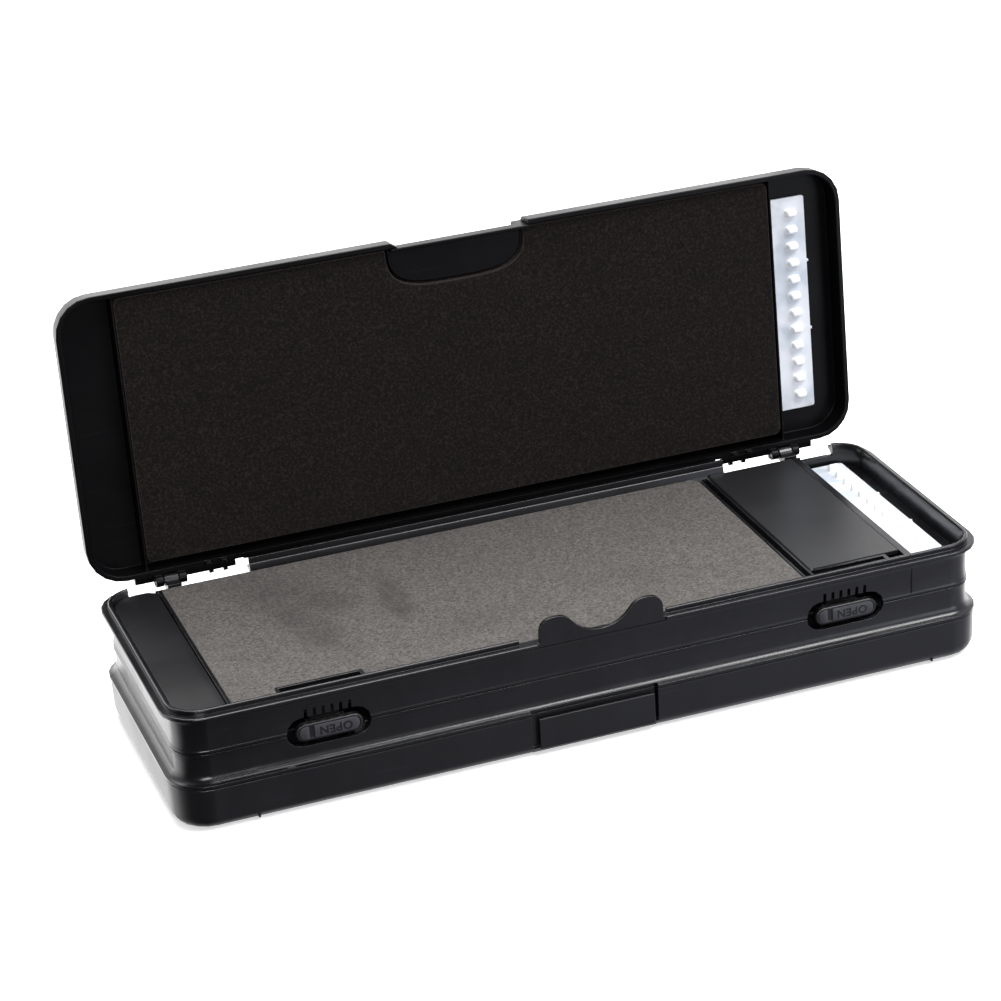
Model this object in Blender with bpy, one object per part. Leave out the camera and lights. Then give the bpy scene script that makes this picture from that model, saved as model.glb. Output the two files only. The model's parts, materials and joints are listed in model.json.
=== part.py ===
"""A double-sided rig box for made-up fishing rigs, moulded in black plastic.

Two shallow trays meet back to back at a seam round the waist of the box.  Each tray has
its own lid, so the box opens from above and, turned over, from below.  The upper lid
stands open.  Every half is modelled in the same half frame: z = 0 is the shoulder that
the lid closes on, +z points into the lid and -z points to the seam.
"""

import math

import bmesh
import bpy
from mathutils import Matrix, Vector

MM = 0.001

# The outline of the closed box, seen from above
LENGTH = 350.0 * MM
WIDTH = 124.3 * MM
CORNER_RADIUS = 16.0 * MM
LEAST_RADIUS = 1.0 * MM
CORNER_STEPS = 5
CLEARANCE = 0.3 * MM
OVERRUN = 2.0 * MM
BITE = 0.6 * MM
CORNERS = 4

# Heights of the stack, from the ground up
LOWER_LID_HEIGHT = 18.9 * MM
LOWER_TRAY_DEPTH = 13.8 * MM
UPPER_TRAY_DEPTH = 17.1 * MM
UPPER_LID_HEIGHT = 11.5 * MM
SEAM_GAP = 0.3 * MM
LOWER_SHOULDER = LOWER_LID_HEIGHT
SEAM = LOWER_SHOULDER + LOWER_TRAY_DEPTH + SEAM_GAP / 2
UPPER_SHOULDER = SEAM + SEAM_GAP / 2 + UPPER_TRAY_DEPTH

# Section of a tray wall, as insets from the outline and heights from the shoulder
WAIST_INSET = 3.5 * MM
WAIST_HOLLOW = 0.25 * MM
BEAD_INSET = 3.2 * MM
BEAD_HEIGHT = 1.0 * MM
LIP_HEIGHT = 1.5 * MM
LIP_EDGE = 0.3 * MM
COVE_RADIUS = 3.4 * MM
COVE_STEPS = 4
SHOULDER_WIDTH = 3.0 * MM
UPSTAND_HEIGHT = 2.1 * MM
UPSTAND_WALL = 1.6 * MM
UPSTAND_EDGE = 0.35 * MM
INNER_INSET = 5.3 * MM
SKIRT_INSET = 5.0 * MM
FLOOR_THICKNESS = 1.5 * MM
UPPER_FLOOR_DEPTH = 12.5 * MM
LOWER_FLOOR_DEPTH = 9.8 * MM
PARTITION = 1.2 * MM
PARTITION_DROP = 0.8 * MM

# Compartments of a tray, along x from the shelf end to the rack end
SHELF_BAY_WIDTH = 20.9 * MM
SHELF_SEAT_DEPTH = 2.9 * MM
RACK_BAY_WIDTH = 25.4 * MM
CHANNEL_WIDTH = 2.4 * MM
CHANNEL_DEPTH = 4.0 * MM
COVER_BAY_LENGTH = 41.0 * MM
COVER_LEDGE = 1.5 * MM
COVER_SEAT_DEPTH = 2.6 * MM
RACK_WALL = 3.2 * MM
RACK_BAY_DEPTH = 8.3 * MM
BAY_CORNER = 2.0 * MM
SEAT_CORNER = 0.8 * MM
FOAM_CORNER = 6.0 * MM
NAIL_NOTCH_WIDTH = 6.7 * MM
NAIL_NOTCH_DEPTH = 4.5 * MM
NAIL_NOTCH_REACH = 8.0 * MM

SHELF_BAY_START = -LENGTH / 2 + INNER_INSET
SHELF_BAY_END = SHELF_BAY_START + SHELF_BAY_WIDTH
FOAM_BAY_START = SHELF_BAY_END + PARTITION
RACK_BAY_END = LENGTH / 2 - INNER_INSET
RACK_BAY_START = RACK_BAY_END - RACK_BAY_WIDTH
COVER_BAY_END = RACK_BAY_START - RACK_WALL
COVER_BAY_START = COVER_BAY_END - COVER_BAY_LENGTH
CHANNEL_END = COVER_BAY_START - PARTITION
CHANNEL_START = CHANNEL_END - CHANNEL_WIDTH
FOAM_BAY_END = CHANNEL_START - PARTITION
INNER_FRONT = -WIDTH / 2 + INNER_INSET
INNER_REAR = WIDTH / 2 - INNER_INSET

# Latch buttons at the seam and the shafts behind them
BUTTON_FROM_END = 64.0 * MM
BUTTON_PLACE = LENGTH / 2 - BUTTON_FROM_END
OVAL_LENGTH = 34.6 * MM
OVAL_HEIGHT = 12.5 * MM
PAD_LENGTH = 28.0 * MM
PAD_HEIGHT = 7.6 * MM
PAD_THICKNESS = 2.5 * MM
PAD_PROUD = 1.05 * MM
PAD_EDGE = 0.5 * MM
PAD_RIM = 0.9 * MM
PAD_RELIEF_HEIGHT = 4.1 * MM
PAD_RELIEF_SIDE = 1.5 * MM
BUTTON_TRAVEL = 2.0 * MM
STEM_WIDTH = 16.0 * MM
STEM_HEIGHT = 4.0 * MM
STEM_LENGTH = 5.4 * MM
LEAF_WIDTH = 10.0 * MM
LEAF_THICKNESS = 1.0 * MM
LEAF_DROP = 9.0 * MM
NOSE_WIDTH = 12.0 * MM
NOSE_RISE = 8.4 * MM
NOSE_THICKNESS = 1.4 * MM
NOSE_HOOK = 0.9 * MM
NOSE_HOOK_HEIGHT = 1.6 * MM
CATCH_WIDTH = 14.0 * MM
CATCH_DEPTH = 1.3 * MM
CATCH_HEIGHT = 1.4 * MM
CHEEK_THICKNESS = 1.2 * MM
CHEEK_DROP = 8.5 * MM
CHEEK_LENGTH = 5.6 * MM
SLOT_COUNT = 6
SLOT_PITCH = 3.6 * MM
SLOT_WIDTH = 1.2 * MM
SLOT_RISE = 3.5 * MM
SHAFT_WIDTH = 33.0 * MM
SHAFT_DEPTH = 7.0 * MM
SHAFT_FRONT_WALL = 0.45 * MM
FAR_SHAFT_WIDTH = 32.4 * MM
OVAL_STEPS = 6

# Lid hinges along the rear of each half
HINGE_SETBACK = 2.15 * MM
HINGE_DROP = 0.6 * MM
HINGE_FROM_END = 34.0 * MM
HINGE_PLACE = LENGTH / 2 - HINGE_FROM_END
BARREL_RADIUS = 2.4 * MM
TRAY_LUG_WIDTH = 6.0 * MM
LID_LUG_WIDTH = 3.4 * MM
LUG_GAP = 0.3 * MM
LUG_ROOT = 5.0 * MM
PIN_RADIUS = 1.0 * MM
PIN_BORE_RADIUS = 1.3 * MM
PIN_SHORTFALL = 0.2 * MM
ROUND_STEPS = 12
WINDOW_INNER_REACH = 32.5 * MM
WINDOW_OUTER_REACH = 20.0 * MM
WINDOW_START = HINGE_PLACE - WINDOW_INNER_REACH
WINDOW_END = HINGE_PLACE + WINDOW_OUTER_REACH
WINDOW_DEPTH = 5.0 * MM
LUG_WINDOW_DEPTH = 3.3 * MM
FIRST_TOOTH_REACH = 23.5 * MM
SECOND_TOOTH_REACH = 16.7 * MM
TEETH_PLACES = (HINGE_PLACE - FIRST_TOOTH_REACH, HINGE_PLACE - SECOND_TOOTH_REACH)
TOOTH_WIDTH = 2.5 * MM
TOOTH_LENGTH = 1.8 * MM
TOOTH_THICKNESS = 1.8 * MM
OPEN_ANGLE = math.radians(94.86)

# Hinge of the two trays along the seam
SEAM_HINGE_SETBACK = 2.85 * MM
SEAM_HINGE_FROM_END = 80.0 * MM
SEAM_HINGE_PLACE = LENGTH / 2 - SEAM_HINGE_FROM_END
SEAM_BARREL_RADIUS = 2.2 * MM
SEAM_MIDDLE_WIDTH = 19.0 * MM
SEAM_SIDE_WIDTH = 8.0 * MM
SEAM_WEB_HEIGHT = 3.2 * MM
SEAM_WEB_LIFT = 0.3 * MM

# Lids
LID_INSET = 0.4 * MM
LID_WALL = 2.2 * MM
LID_TOP = 1.8 * MM
UPPER_LID_EDGE = 4.0 * MM
LOWER_LID_EDGE = 6.0 * MM
LID_EDGE_STEPS = 4
LID_DRAFT = 0.3 * MM
LID_RIM_EDGE = 0.3 * MM
LID_RIB = 1.0 * MM
LID_RIB_DROP = 0.5 * MM
LID_FOAM_LEFT_INSET = 26.0 * MM
LID_FOAM_RIGHT_INSET = 33.4 * MM
LID_FOAM_FRONT_INSET = 3.65 * MM
LID_FOAM_REAR_INSET = 5.55 * MM
LID_FOAM_START = -LENGTH / 2 + LID_FOAM_LEFT_INSET
LID_FOAM_END = LENGTH / 2 - LID_FOAM_RIGHT_INSET
LID_FOAM_FRONT = -WIDTH / 2 + LID_FOAM_FRONT_INSET
LID_FOAM_REAR = WIDTH / 2 - LID_FOAM_REAR_INSET
LID_FOAM_THICKNESS = 6.7 * MM
LID_FOAM_CORNER = 3.0 * MM

# Finger scoop in the front of the upper lid
SCOOP_CENTRE = -1.8 * MM
SCOOP_HALF_WIDTH = 29.7 * MM
SCOOP_SETBACK = 2.15 * MM
SCOOP_FRONT = -WIDTH / 2 + SCOOP_SETBACK
SCOOP_REACH = 18.2 * MM
SCOOP_POWER = 3.5
SCOOP_STEPS = 24
SCOOP_PLATE_LOW = 4.5 * MM
SCOOP_WALL = 1.5 * MM
SCOOP_FOAM_GAP = 1.0 * MM
NOTCH_SETBACK = 2.85 * MM
NOTCH_LEFT = -27.0 * MM
NOTCH_LEFT_FRONT = -30.6 * MM
NOTCH_RIGHT = 30.6 * MM
NOTCH_WALL = 1.5 * MM

# Saddle-shaped tab on the front of the upper tray
TAB_CENTRE = 3.3 * MM
TAB_HALF_WIDTH = 26.5 * MM
TAB_HEIGHT = 10.2 * MM
TAB_DIP = 0.8 * MM
TAB_SETBACK = 0.85 * MM
TAB_THICKNESS = 1.6 * MM
TAB_ROOT = 1.2 * MM
TAB_DIP_RADIUS = 15.5 * MM
TAB_DIP_ANGLE = math.radians(53.7)
TAB_SHOULDER_RADIUS = 5.5 * MM
TAB_LEDGE_DEPTH = 2.5 * MM
TAB_LEDGE_SIDE = 1.0 * MM
TAB_ARC_STEPS = 5

# Snap tongue in the front of the lower lid
TONGUE_LEFT = -24.5 * MM
TONGUE_RIGHT = 25.5 * MM
TONGUE_SLOT_LEFT = -25.9 * MM
TONGUE_SLOT_RIGHT = 28.7 * MM
TONGUE_ROOT_HEIGHT = 3.7 * MM
TONGUE_TOP_HEIGHT = 16.7 * MM
TONGUE_THICKNESS = 1.5 * MM
FLANGE_NOTCH_DEPTH = 1.9 * MM

# Foam, racks, shelf and cover
FOAM_DROP = 0.6 * MM
FOAM_GAP = 0.35 * MM
FOAM_EDGE = 0.4 * MM
RACK_WIDTH = 17.0 * MM
RACK_SPARE = 16.7 * MM
RACK_LENGTH = INNER_REAR - INNER_FRONT - RACK_SPARE
RACK_THICKNESS = 1.6 * MM
RACK_CORNER = 1.2 * MM
LID_RACK_FROM_END = 31.1 * MM
LID_RACK_OFFSET = 0.3 * MM
TRAY_RACK_SIDE_GAP = 2.9 * MM
TRAY_RACK_REAR_GAP = 2.35 * MM
LID_RACK_START = LENGTH / 2 - LID_RACK_FROM_END
LID_RACK_FRONT = -RACK_LENGTH / 2 - LID_RACK_OFFSET
TRAY_RACK_START = RACK_BAY_START + TRAY_RACK_SIDE_GAP
TRAY_RACK_FRONT = INNER_REAR - TRAY_RACK_REAR_GAP - RACK_LENGTH
PEG_COUNT = 12
PEG_END_MARGIN = 6.92 * MM
PEG_PITCH = (RACK_LENGTH - 2 * PEG_END_MARGIN) / (PEG_COUNT - 1)
PEG_PLACE_ACROSS = 10.0 * MM
PEG_LENGTH = 4.4 * MM
PEG_WIDTH = 2.6 * MM
PEG_HEIGHT = 5.0 * MM
PEG_TAPER = 0.4 * MM
NUB_LENGTH = 1.2 * MM
NUB_REACH = 0.8 * MM
NUB_PLACE_SHARES = (0.3, 0.62)
SHELF_THICKNESS = 2.0 * MM
SHELF_BEVEL_WIDTH = 3.4 * MM
SHELF_BEVEL_DROP = 0.8 * MM
COVER_THICKNESS = 1.8 * MM
COVER_DROP = 0.5 * MM
COVER_AXIS_INSET = 1.3 * MM
COVER_END_GAP = 0.5 * MM
TRUNNION_RADIUS = 0.65 * MM
TRUNNION_LENGTH = 1.0 * MM
TRUNNION_BORE = 0.95 * MM
COVER_EDGE_STEPS = 6
PANEL_LINE_PLACE = HINGE_PLACE
PANEL_LINE_WIDTH = 0.5 * MM
PANEL_LINE_DEPTH = 0.3 * MM

HINGE_Y = WIDTH / 2 + HINGE_SETBACK
SEAM_HINGE_Y = WIDTH / 2 - WAIST_INSET + SEAM_HINGE_SETBACK


def clear_scene():
    """Start from an empty scene."""
    for item in list(bpy.data.objects):
        bpy.data.objects.remove(item)


def material(name, colour, roughness, metallic=0.0):
    """One Principled material of a given linear colour."""
    finish = bpy.data.materials.new(name)
    finish.use_nodes = True
    shader = finish.node_tree.nodes["Principled BSDF"]
    shader.inputs["Base Color"].default_value = (*colour, 1.0)
    shader.inputs["Roughness"].default_value = roughness
    shader.inputs["Metallic"].default_value = metallic
    return finish


def mesh_object(name, bm):
    """Turn a bmesh into a named object with its faces pointing out."""
    bmesh.ops.recalc_face_normals(bm, faces=bm.faces)
    mesh = bpy.data.meshes.new(name)
    bm.to_mesh(mesh)
    bm.free()
    item = bpy.data.objects.new(name, mesh)
    bpy.context.collection.objects.link(item)
    return item


def loft(name, rings):
    """A closed body through rings of equal point counts, capped at both ends."""
    bm = bmesh.new()
    rows = [[bm.verts.new(point) for point in ring] for ring in rings]
    count = len(rows[0])
    for low, high in zip(rows, rows[1:]):
        for i in range(count):
            j = (i + 1) % count
            bm.faces.new((low[i], low[j], high[j], high[i]))
    bm.faces.new(list(reversed(rows[0])))
    bm.faces.new(rows[-1])
    return mesh_object(name, bm)


def rounded_outline(left, right, front, rear, radii):
    """Outline with a radius per corner: front left, front right, rear right, rear left."""
    centres = (
        (left + radii[0], front + radii[0], math.pi),
        (right - radii[1], front + radii[1], 1.5 * math.pi),
        (right - radii[2], rear - radii[2], 0.0),
        (left + radii[3], rear - radii[3], 0.5 * math.pi),
    )
    points = []
    for (x, y, start), radius in zip(centres, radii):
        for step in range(CORNER_STEPS + 1):
            angle = start + 0.5 * math.pi * step / CORNER_STEPS
            points.append((x + radius * math.cos(angle), y + radius * math.sin(angle)))
    return points


def box_outline(inset):
    """The outline of the closed box, drawn in by an inset."""
    radius = max(CORNER_RADIUS - inset, LEAST_RADIUS)
    return rounded_outline(
        -LENGTH / 2 + inset,
        LENGTH / 2 - inset,
        -WIDTH / 2 + inset,
        WIDTH / 2 - inset,
        (radius,) * CORNERS,
    )


def ring(outline, z):
    return [Vector((x, y, z)) for x, y in outline]


def prism(name, outline, low, high):
    return loft(name, [ring(outline, low), ring(outline, high)])


def block(name, left, right, front, rear, low, high):
    outline = [(left, front), (right, front), (right, rear), (left, rear)]
    return prism(name, outline, low, high)


def rod(name, start, end, y, z, radius):
    """A round bar along x, with one facet edge on top."""
    turns = [2 * math.pi * i / ROUND_STEPS for i in range(ROUND_STEPS)]
    rings = []
    for x in (start, end):
        rings.append([Vector((x, y + radius * math.cos(a), z + radius * math.sin(a))) for a in turns])
    return loft(name, rings)


def rod_along_y(name, start, end, x, z, radius):
    """A round bar along y."""
    turns = [2 * math.pi * i / ROUND_STEPS for i in range(ROUND_STEPS)]
    rings = []
    for y in (start, end):
        rings.append([Vector((x + radius * math.cos(a), y, z + radius * math.sin(a))) for a in turns])
    return loft(name, rings)


def stadium_section(length, height):
    """Round-ended outline in the x and z plane, about its centre."""
    radius = height / 2
    reach = length / 2 - radius
    points = []
    for side, start in ((1, -0.5 * math.pi), (-1, 0.5 * math.pi)):
        for step in range(OVAL_STEPS + 1):
            angle = start + math.pi * step / OVAL_STEPS
            points.append((side * reach + radius * math.cos(angle), radius * math.sin(angle)))
    return points


def stadium(name, centre, seam, length, height, front, rear):
    """A round-ended bar that runs along y."""
    section = stadium_section(length, height)
    rings = [[Vector((centre + x, y, seam + z)) for x, z in section] for y in (front, rear)]
    return loft(name, rings)


def combine(target, tool, operation):
    """Apply one Boolean to the target and remove the tool."""
    step = target.modifiers.new(operation.title(), "BOOLEAN")
    step.operation = operation
    step.object = tool
    step.solver = "EXACT"
    bpy.context.view_layer.update()
    depsgraph = bpy.context.evaluated_depsgraph_get()
    mesh = bpy.data.meshes.new_from_object(target.evaluated_get(depsgraph))
    target.modifiers.clear()
    target.data = mesh
    bpy.data.objects.remove(tool)


def cut(target, tool):
    combine(target, tool, "DIFFERENCE")


def join(target, tool):
    combine(target, tool, "UNION")


class Half:
    """The sizes in which the upper and the lower half differ."""

    def __init__(self, name, tray_depth, floor_depth, lid_height, lid_edge, frame):
        self.name = name
        self.tray_depth = tray_depth
        self.floor_depth = floor_depth
        self.lid_height = lid_height
        self.lid_edge = lid_edge
        self.frame = frame

    @property
    def lid_ceiling(self):
        return self.lid_height - LID_TOP

    @property
    def seam(self):
        """Height of the middle of the seam in this half's frame."""
        return -self.tray_depth - SEAM_GAP / 2


UPPER = Half(
    "upper",
    UPPER_TRAY_DEPTH,
    UPPER_FLOOR_DEPTH,
    UPPER_LID_HEIGHT,
    UPPER_LID_EDGE,
    Matrix.Translation((0, 0, UPPER_SHOULDER)),
)
LOWER = Half(
    "lower",
    LOWER_TRAY_DEPTH,
    LOWER_FLOOR_DEPTH,
    LOWER_LID_HEIGHT,
    LOWER_LID_EDGE,
    Matrix.Translation((0, 0, LOWER_SHOULDER)) @ Matrix.Rotation(math.pi, 4, "Y"),
)


def tray_profile(half):
    """Insets and heights round a tray wall, from under its floor to the partition tops."""
    bottom = -half.tray_depth
    cove_centre = -LIP_HEIGHT - COVE_RADIUS
    cove_inset = WAIST_INSET - COVE_RADIUS
    profile = [
        (SKIRT_INSET, -half.floor_depth - FLOOR_THICKNESS),
        (SKIRT_INSET, bottom),
        (BEAD_INSET, bottom),
        (BEAD_INSET, bottom + BEAD_HEIGHT),
        (WAIST_INSET, bottom + 1.5 * BEAD_HEIGHT),
        (WAIST_INSET + WAIST_HOLLOW, (bottom + cove_centre) / 2),
    ]
    for step in range(COVE_STEPS + 1):
        angle = 0.5 * math.pi * step / COVE_STEPS
        inset = cove_inset + COVE_RADIUS * math.cos(angle)
        profile.append((inset, cove_centre + COVE_RADIUS * math.sin(angle)))
    inner = SHOULDER_WIDTH + UPSTAND_WALL
    profile += [
        (0, -LIP_HEIGHT + LIP_EDGE / 2),
        (0, -LIP_EDGE),
        (LIP_EDGE, 0),
        (SHOULDER_WIDTH, 0),
        (SHOULDER_WIDTH, UPSTAND_HEIGHT - UPSTAND_EDGE),
        (SHOULDER_WIDTH + UPSTAND_EDGE, UPSTAND_HEIGHT),
        (inner - UPSTAND_EDGE, UPSTAND_HEIGHT),
        (inner, UPSTAND_HEIGHT - UPSTAND_EDGE),
        (INNER_INSET, -PARTITION_DROP),
    ]
    return profile


def cut_bays(tray, half):
    """Cut the compartments into the tray, leaving the partitions between them."""
    top = UPSTAND_HEIGHT + OVERRUN
    end_radius = CORNER_RADIUS - INNER_INSET
    near = (end_radius, BAY_CORNER, BAY_CORNER, end_radius)
    square = (BAY_CORNER,) * CORNERS
    far = (BAY_CORNER, end_radius, end_radius, BAY_CORNER)
    shaft_rear = INNER_FRONT + SHAFT_FRONT_WALL + SHAFT_DEPTH
    shelf = rounded_outline(SHELF_BAY_START, SHELF_BAY_END, INNER_FRONT, INNER_REAR, near)
    cut(tray, prism("shelf_bay", shelf, -SHELF_SEAT_DEPTH, top))
    foam_corners = (BAY_CORNER, BAY_CORNER, FOAM_CORNER, BAY_CORNER)
    foam = rounded_outline(FOAM_BAY_START, FOAM_BAY_END, INNER_FRONT, INNER_REAR, foam_corners)
    cut(tray, prism("foam_bay", foam, -half.floor_depth, top))
    channel = block(
        "channel",
        CHANNEL_START,
        CHANNEL_END,
        INNER_FRONT,
        INNER_REAR - BAY_CORNER,
        -CHANNEL_DEPTH,
        top,
    )
    cut(tray, channel)
    cover_front = shaft_rear + PARTITION
    sharp = (SEAT_CORNER,) * CORNERS
    seat = rounded_outline(COVER_BAY_START, COVER_BAY_END, cover_front, INNER_REAR, sharp)
    cut(tray, prism("cover_seat", seat, -COVER_SEAT_DEPTH, top))
    well = rounded_outline(
        COVER_BAY_START + COVER_LEDGE,
        COVER_BAY_END - COVER_LEDGE,
        cover_front + COVER_LEDGE,
        INNER_REAR - COVER_LEDGE,
        square,
    )
    cut(tray, prism("cover_well", well, -half.floor_depth, top))
    notch = block(
        "nail_notch",
        COVER_BAY_END - NAIL_NOTCH_WIDTH,
        COVER_BAY_END,
        cover_front - NAIL_NOTCH_REACH + BITE,
        cover_front + COVER_LEDGE + BITE,
        -NAIL_NOTCH_DEPTH,
        top,
    )
    cut(tray, notch)
    rack = rounded_outline(RACK_BAY_START, RACK_BAY_END, INNER_FRONT, INNER_REAR, far)
    cut(tray, prism("rack_bay", rack, -RACK_BAY_DEPTH, top))


def cut_underside(tray, half):
    """Core out the tray from the seam under its raised floors."""
    low = -half.tray_depth - OVERRUN
    wall = FLOOR_THICKNESS
    rear = INNER_REAR - wall
    radius = CORNER_RADIUS - INNER_INSET - wall
    near = (radius, BAY_CORNER, BAY_CORNER, radius)
    far = (BAY_CORNER, radius, radius, BAY_CORNER)
    shelf = rounded_outline(SHELF_BAY_START + wall, SHELF_BAY_END - wall, -rear, rear, near)
    cut(tray, prism("shelf_core", shelf, low, -SHELF_SEAT_DEPTH - wall))
    rack = rounded_outline(RACK_BAY_START, RACK_BAY_END - wall, -rear, rear, far)
    cut(tray, prism("rack_core", rack, low, -RACK_BAY_DEPTH - wall))


def shaft_spans():
    """Left and right ends of the two latch shafts: one in the foam bay, one by the cover."""
    near = (-BUTTON_PLACE - SHAFT_WIDTH / 2, -BUTTON_PLACE + SHAFT_WIDTH / 2)
    far = (COVER_BAY_START, COVER_BAY_START + FAR_SHAFT_WIDTH)
    return near, far


def add_latch_shafts(tray, half):
    """Shafts behind the front wall for the buttons, open through the floor."""
    front = INNER_FRONT + SHAFT_FRONT_WALL
    rear = front + SHAFT_DEPTH
    low = -half.tray_depth - OVERRUN
    near, far = shaft_spans()
    shroud = block(
        "shroud",
        near[0] - PARTITION,
        near[1] + PARTITION,
        INNER_FRONT - BITE,
        rear + PARTITION,
        -half.floor_depth - FLOOR_THICKNESS / 2,
        -PARTITION_DROP,
    )
    join(tray, shroud)
    for left, right in (near, far):
        cut(tray, block("shaft", left, right, front, rear, low, UPSTAND_HEIGHT + OVERRUN))


def cut_button_openings(tray, half, slotted):
    """Ovals across the seam, the grille slots above them, and room behind for the pads."""
    outer = -WIDTH / 2
    inner = INNER_FRONT + SHAFT_FRONT_WALL + OVERRUN / 2
    relief_rear = INNER_FRONT + BUTTON_TRAVEL + BITE
    for side in (-1, 1):
        centre = side * BUTTON_PLACE
        oval = stadium("oval", centre, half.seam, OVAL_LENGTH, OVAL_HEIGHT, outer, inner)
        cut(tray, oval)
        relief = block(
            "pad_relief",
            centre - PAD_LENGTH / 2 - PAD_RELIEF_SIDE,
            centre + PAD_LENGTH / 2 + PAD_RELIEF_SIDE,
            INNER_FRONT - BITE,
            relief_rear,
            half.seam - OVERRUN,
            half.seam + PAD_RELIEF_HEIGHT,
        )
        cut(tray, relief)
        if not slotted:
            continue
        for i in range(SLOT_COUNT):
            x = centre + (i - (SLOT_COUNT - 1) / 2) * SLOT_PITCH
            slot = block(
                "slot",
                x - SLOT_WIDTH / 2,
                x + SLOT_WIDTH / 2,
                outer,
                inner,
                half.seam + OVAL_HEIGHT / 2 - OVERRUN,
                half.seam + OVAL_HEIGHT / 2 + SLOT_RISE,
            )
            cut(tray, slot)


def cut_hinge_windows(tray):
    """Windows in the rear rim that let the lid's teeth and lugs swing."""
    front = INNER_REAR - CLEARANCE
    rear = WIDTH / 2 + OVERRUN
    top = UPSTAND_HEIGHT + OVERRUN
    inner_end = HINGE_PLACE - TRAY_LUG_WIDTH / 2 - LUG_GAP - LID_LUG_WIDTH - LUG_GAP
    for side in (-1, 1):
        deep = sorted((side * WINDOW_START, side * inner_end))
        cut(tray, block("window", *deep, front, rear, -WINDOW_DEPTH, top))
        shallow = sorted((side * (inner_end - BITE), side * WINDOW_END))
        cut(tray, block("lug_window", *shallow, front, rear, -LUG_WINDOW_DEPTH, top))


def lug(name, left, right, y, z, root_y, low, high):
    """A hinge lug: a barrel with a web back to the wall that carries it."""
    body = rod(name, left, right, y, z, BARREL_RADIUS)
    web = block("web", left, right, min(root_y, y), max(root_y, y), low, high)
    join(body, web)
    return body


def add_tray_lugs(tray):
    """The middle lug of each lid hinge, bored for the pin."""
    axis_z = -HINGE_DROP
    root = INNER_REAR + BITE
    for side in (-1, 1):
        left = side * HINGE_PLACE - TRAY_LUG_WIDTH / 2
        right = left + TRAY_LUG_WIDTH
        low = axis_z - BARREL_RADIUS * math.cos(math.pi / ROUND_STEPS) - CLEARANCE * 2
        piece = lug("tray_lug", left, right, HINGE_Y, axis_z, root, low, 0)
        join(tray, piece)
        bore = rod("bore", left - OVERRUN, right + OVERRUN, HINGE_Y, axis_z, PIN_BORE_RADIUS)
        cut(tray, bore)


def add_seam_knuckles(tray, half, spans):
    """Knuckles of the seam hinge on this tray, bored for their pins."""
    for centre in (-SEAM_HINGE_PLACE, SEAM_HINGE_PLACE):
        for start, end in spans:
            left = centre + start
            right = centre + end
            body = rod("knuckle", left, right, SEAM_HINGE_Y, half.seam, SEAM_BARREL_RADIUS)
            low = half.seam + SEAM_WEB_LIFT
            web = block(
                "knuckle_web",
                left,
                right,
                INNER_REAR + BITE,
                SEAM_HINGE_Y,
                low,
                low + SEAM_WEB_HEIGHT,
            )
            join(body, web)
            join(tray, body)
            bore = rod(
                "bore",
                left - CLEARANCE / 2,
                right + CLEARANCE / 2,
                SEAM_HINGE_Y,
                half.seam,
                PIN_BORE_RADIUS,
            )
            cut(tray, bore)


def cut_front_gap(tray, left, right, depth):
    """Open the upstand at the front catch and lower the lip in front of it."""
    wall = -WIDTH / 2 + NOTCH_SETBACK
    gap = block(
        "upstand_gap",
        left,
        right,
        wall - CLEARANCE,
        INNER_FRONT + CLEARANCE,
        0,
        UPSTAND_HEIGHT + OVERRUN,
    )
    cut(tray, gap)
    if depth:
        lip = block("lip_gap", left, right, -WIDTH / 2 - OVERRUN, wall, -depth, OVERRUN)
        cut(tray, lip)


def tab_outline():
    """Half of the saddle from its dip to its foot, mirrored to the other side."""
    points = []
    for step in range(TAB_ARC_STEPS + 1):
        angle = TAB_DIP_ANGLE * step / TAB_ARC_STEPS
        x = TAB_DIP_RADIUS * math.sin(angle)
        points.append((x, TAB_DIP + TAB_DIP_RADIUS * (1 - math.cos(angle))))
    x, z = points[-1]
    crown_radius = (TAB_HEIGHT - z) / (1 - math.cos(TAB_DIP_ANGLE))
    for step in range(1, TAB_ARC_STEPS + 1):
        angle = TAB_DIP_ANGLE * (1 - step / TAB_ARC_STEPS)
        across = x + crown_radius * (math.sin(TAB_DIP_ANGLE) - math.sin(angle))
        points.append((across, TAB_HEIGHT - crown_radius * (1 - math.cos(angle))))
    corner_x = TAB_HALF_WIDTH - TAB_SHOULDER_RADIUS
    for step in range(TAB_ARC_STEPS + 1):
        angle = 0.5 * math.pi * (1 - step / TAB_ARC_STEPS)
        across = corner_x + TAB_SHOULDER_RADIUS * math.cos(angle)
        height = TAB_HEIGHT - TAB_SHOULDER_RADIUS * (1 - math.sin(angle))
        points.append((across, height))
    points.append((TAB_HALF_WIDTH, -TAB_ROOT))
    mirrored = [(-x, z) for x, z in reversed(points) if x > 0]
    return mirrored + points


def add_front_tab(tray):
    """The saddle tab that the lid's notch closes over, with the ledge in front of it."""
    front = -WIDTH / 2 + TAB_SETBACK
    ledge = block(
        "tab_ledge",
        TAB_CENTRE - TAB_HALF_WIDTH - TAB_LEDGE_SIDE,
        TAB_CENTRE + TAB_HALF_WIDTH + TAB_LEDGE_SIDE,
        -WIDTH / 2 - OVERRUN,
        front,
        -TAB_LEDGE_DEPTH,
        OVERRUN,
    )
    cut(tray, ledge)
    outline = tab_outline()
    rings = []
    for y in (front, front + TAB_THICKNESS):
        rings.append([Vector((TAB_CENTRE + x, y, z)) for x, z in outline])
    join(tray, loft("tab", rings))


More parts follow.
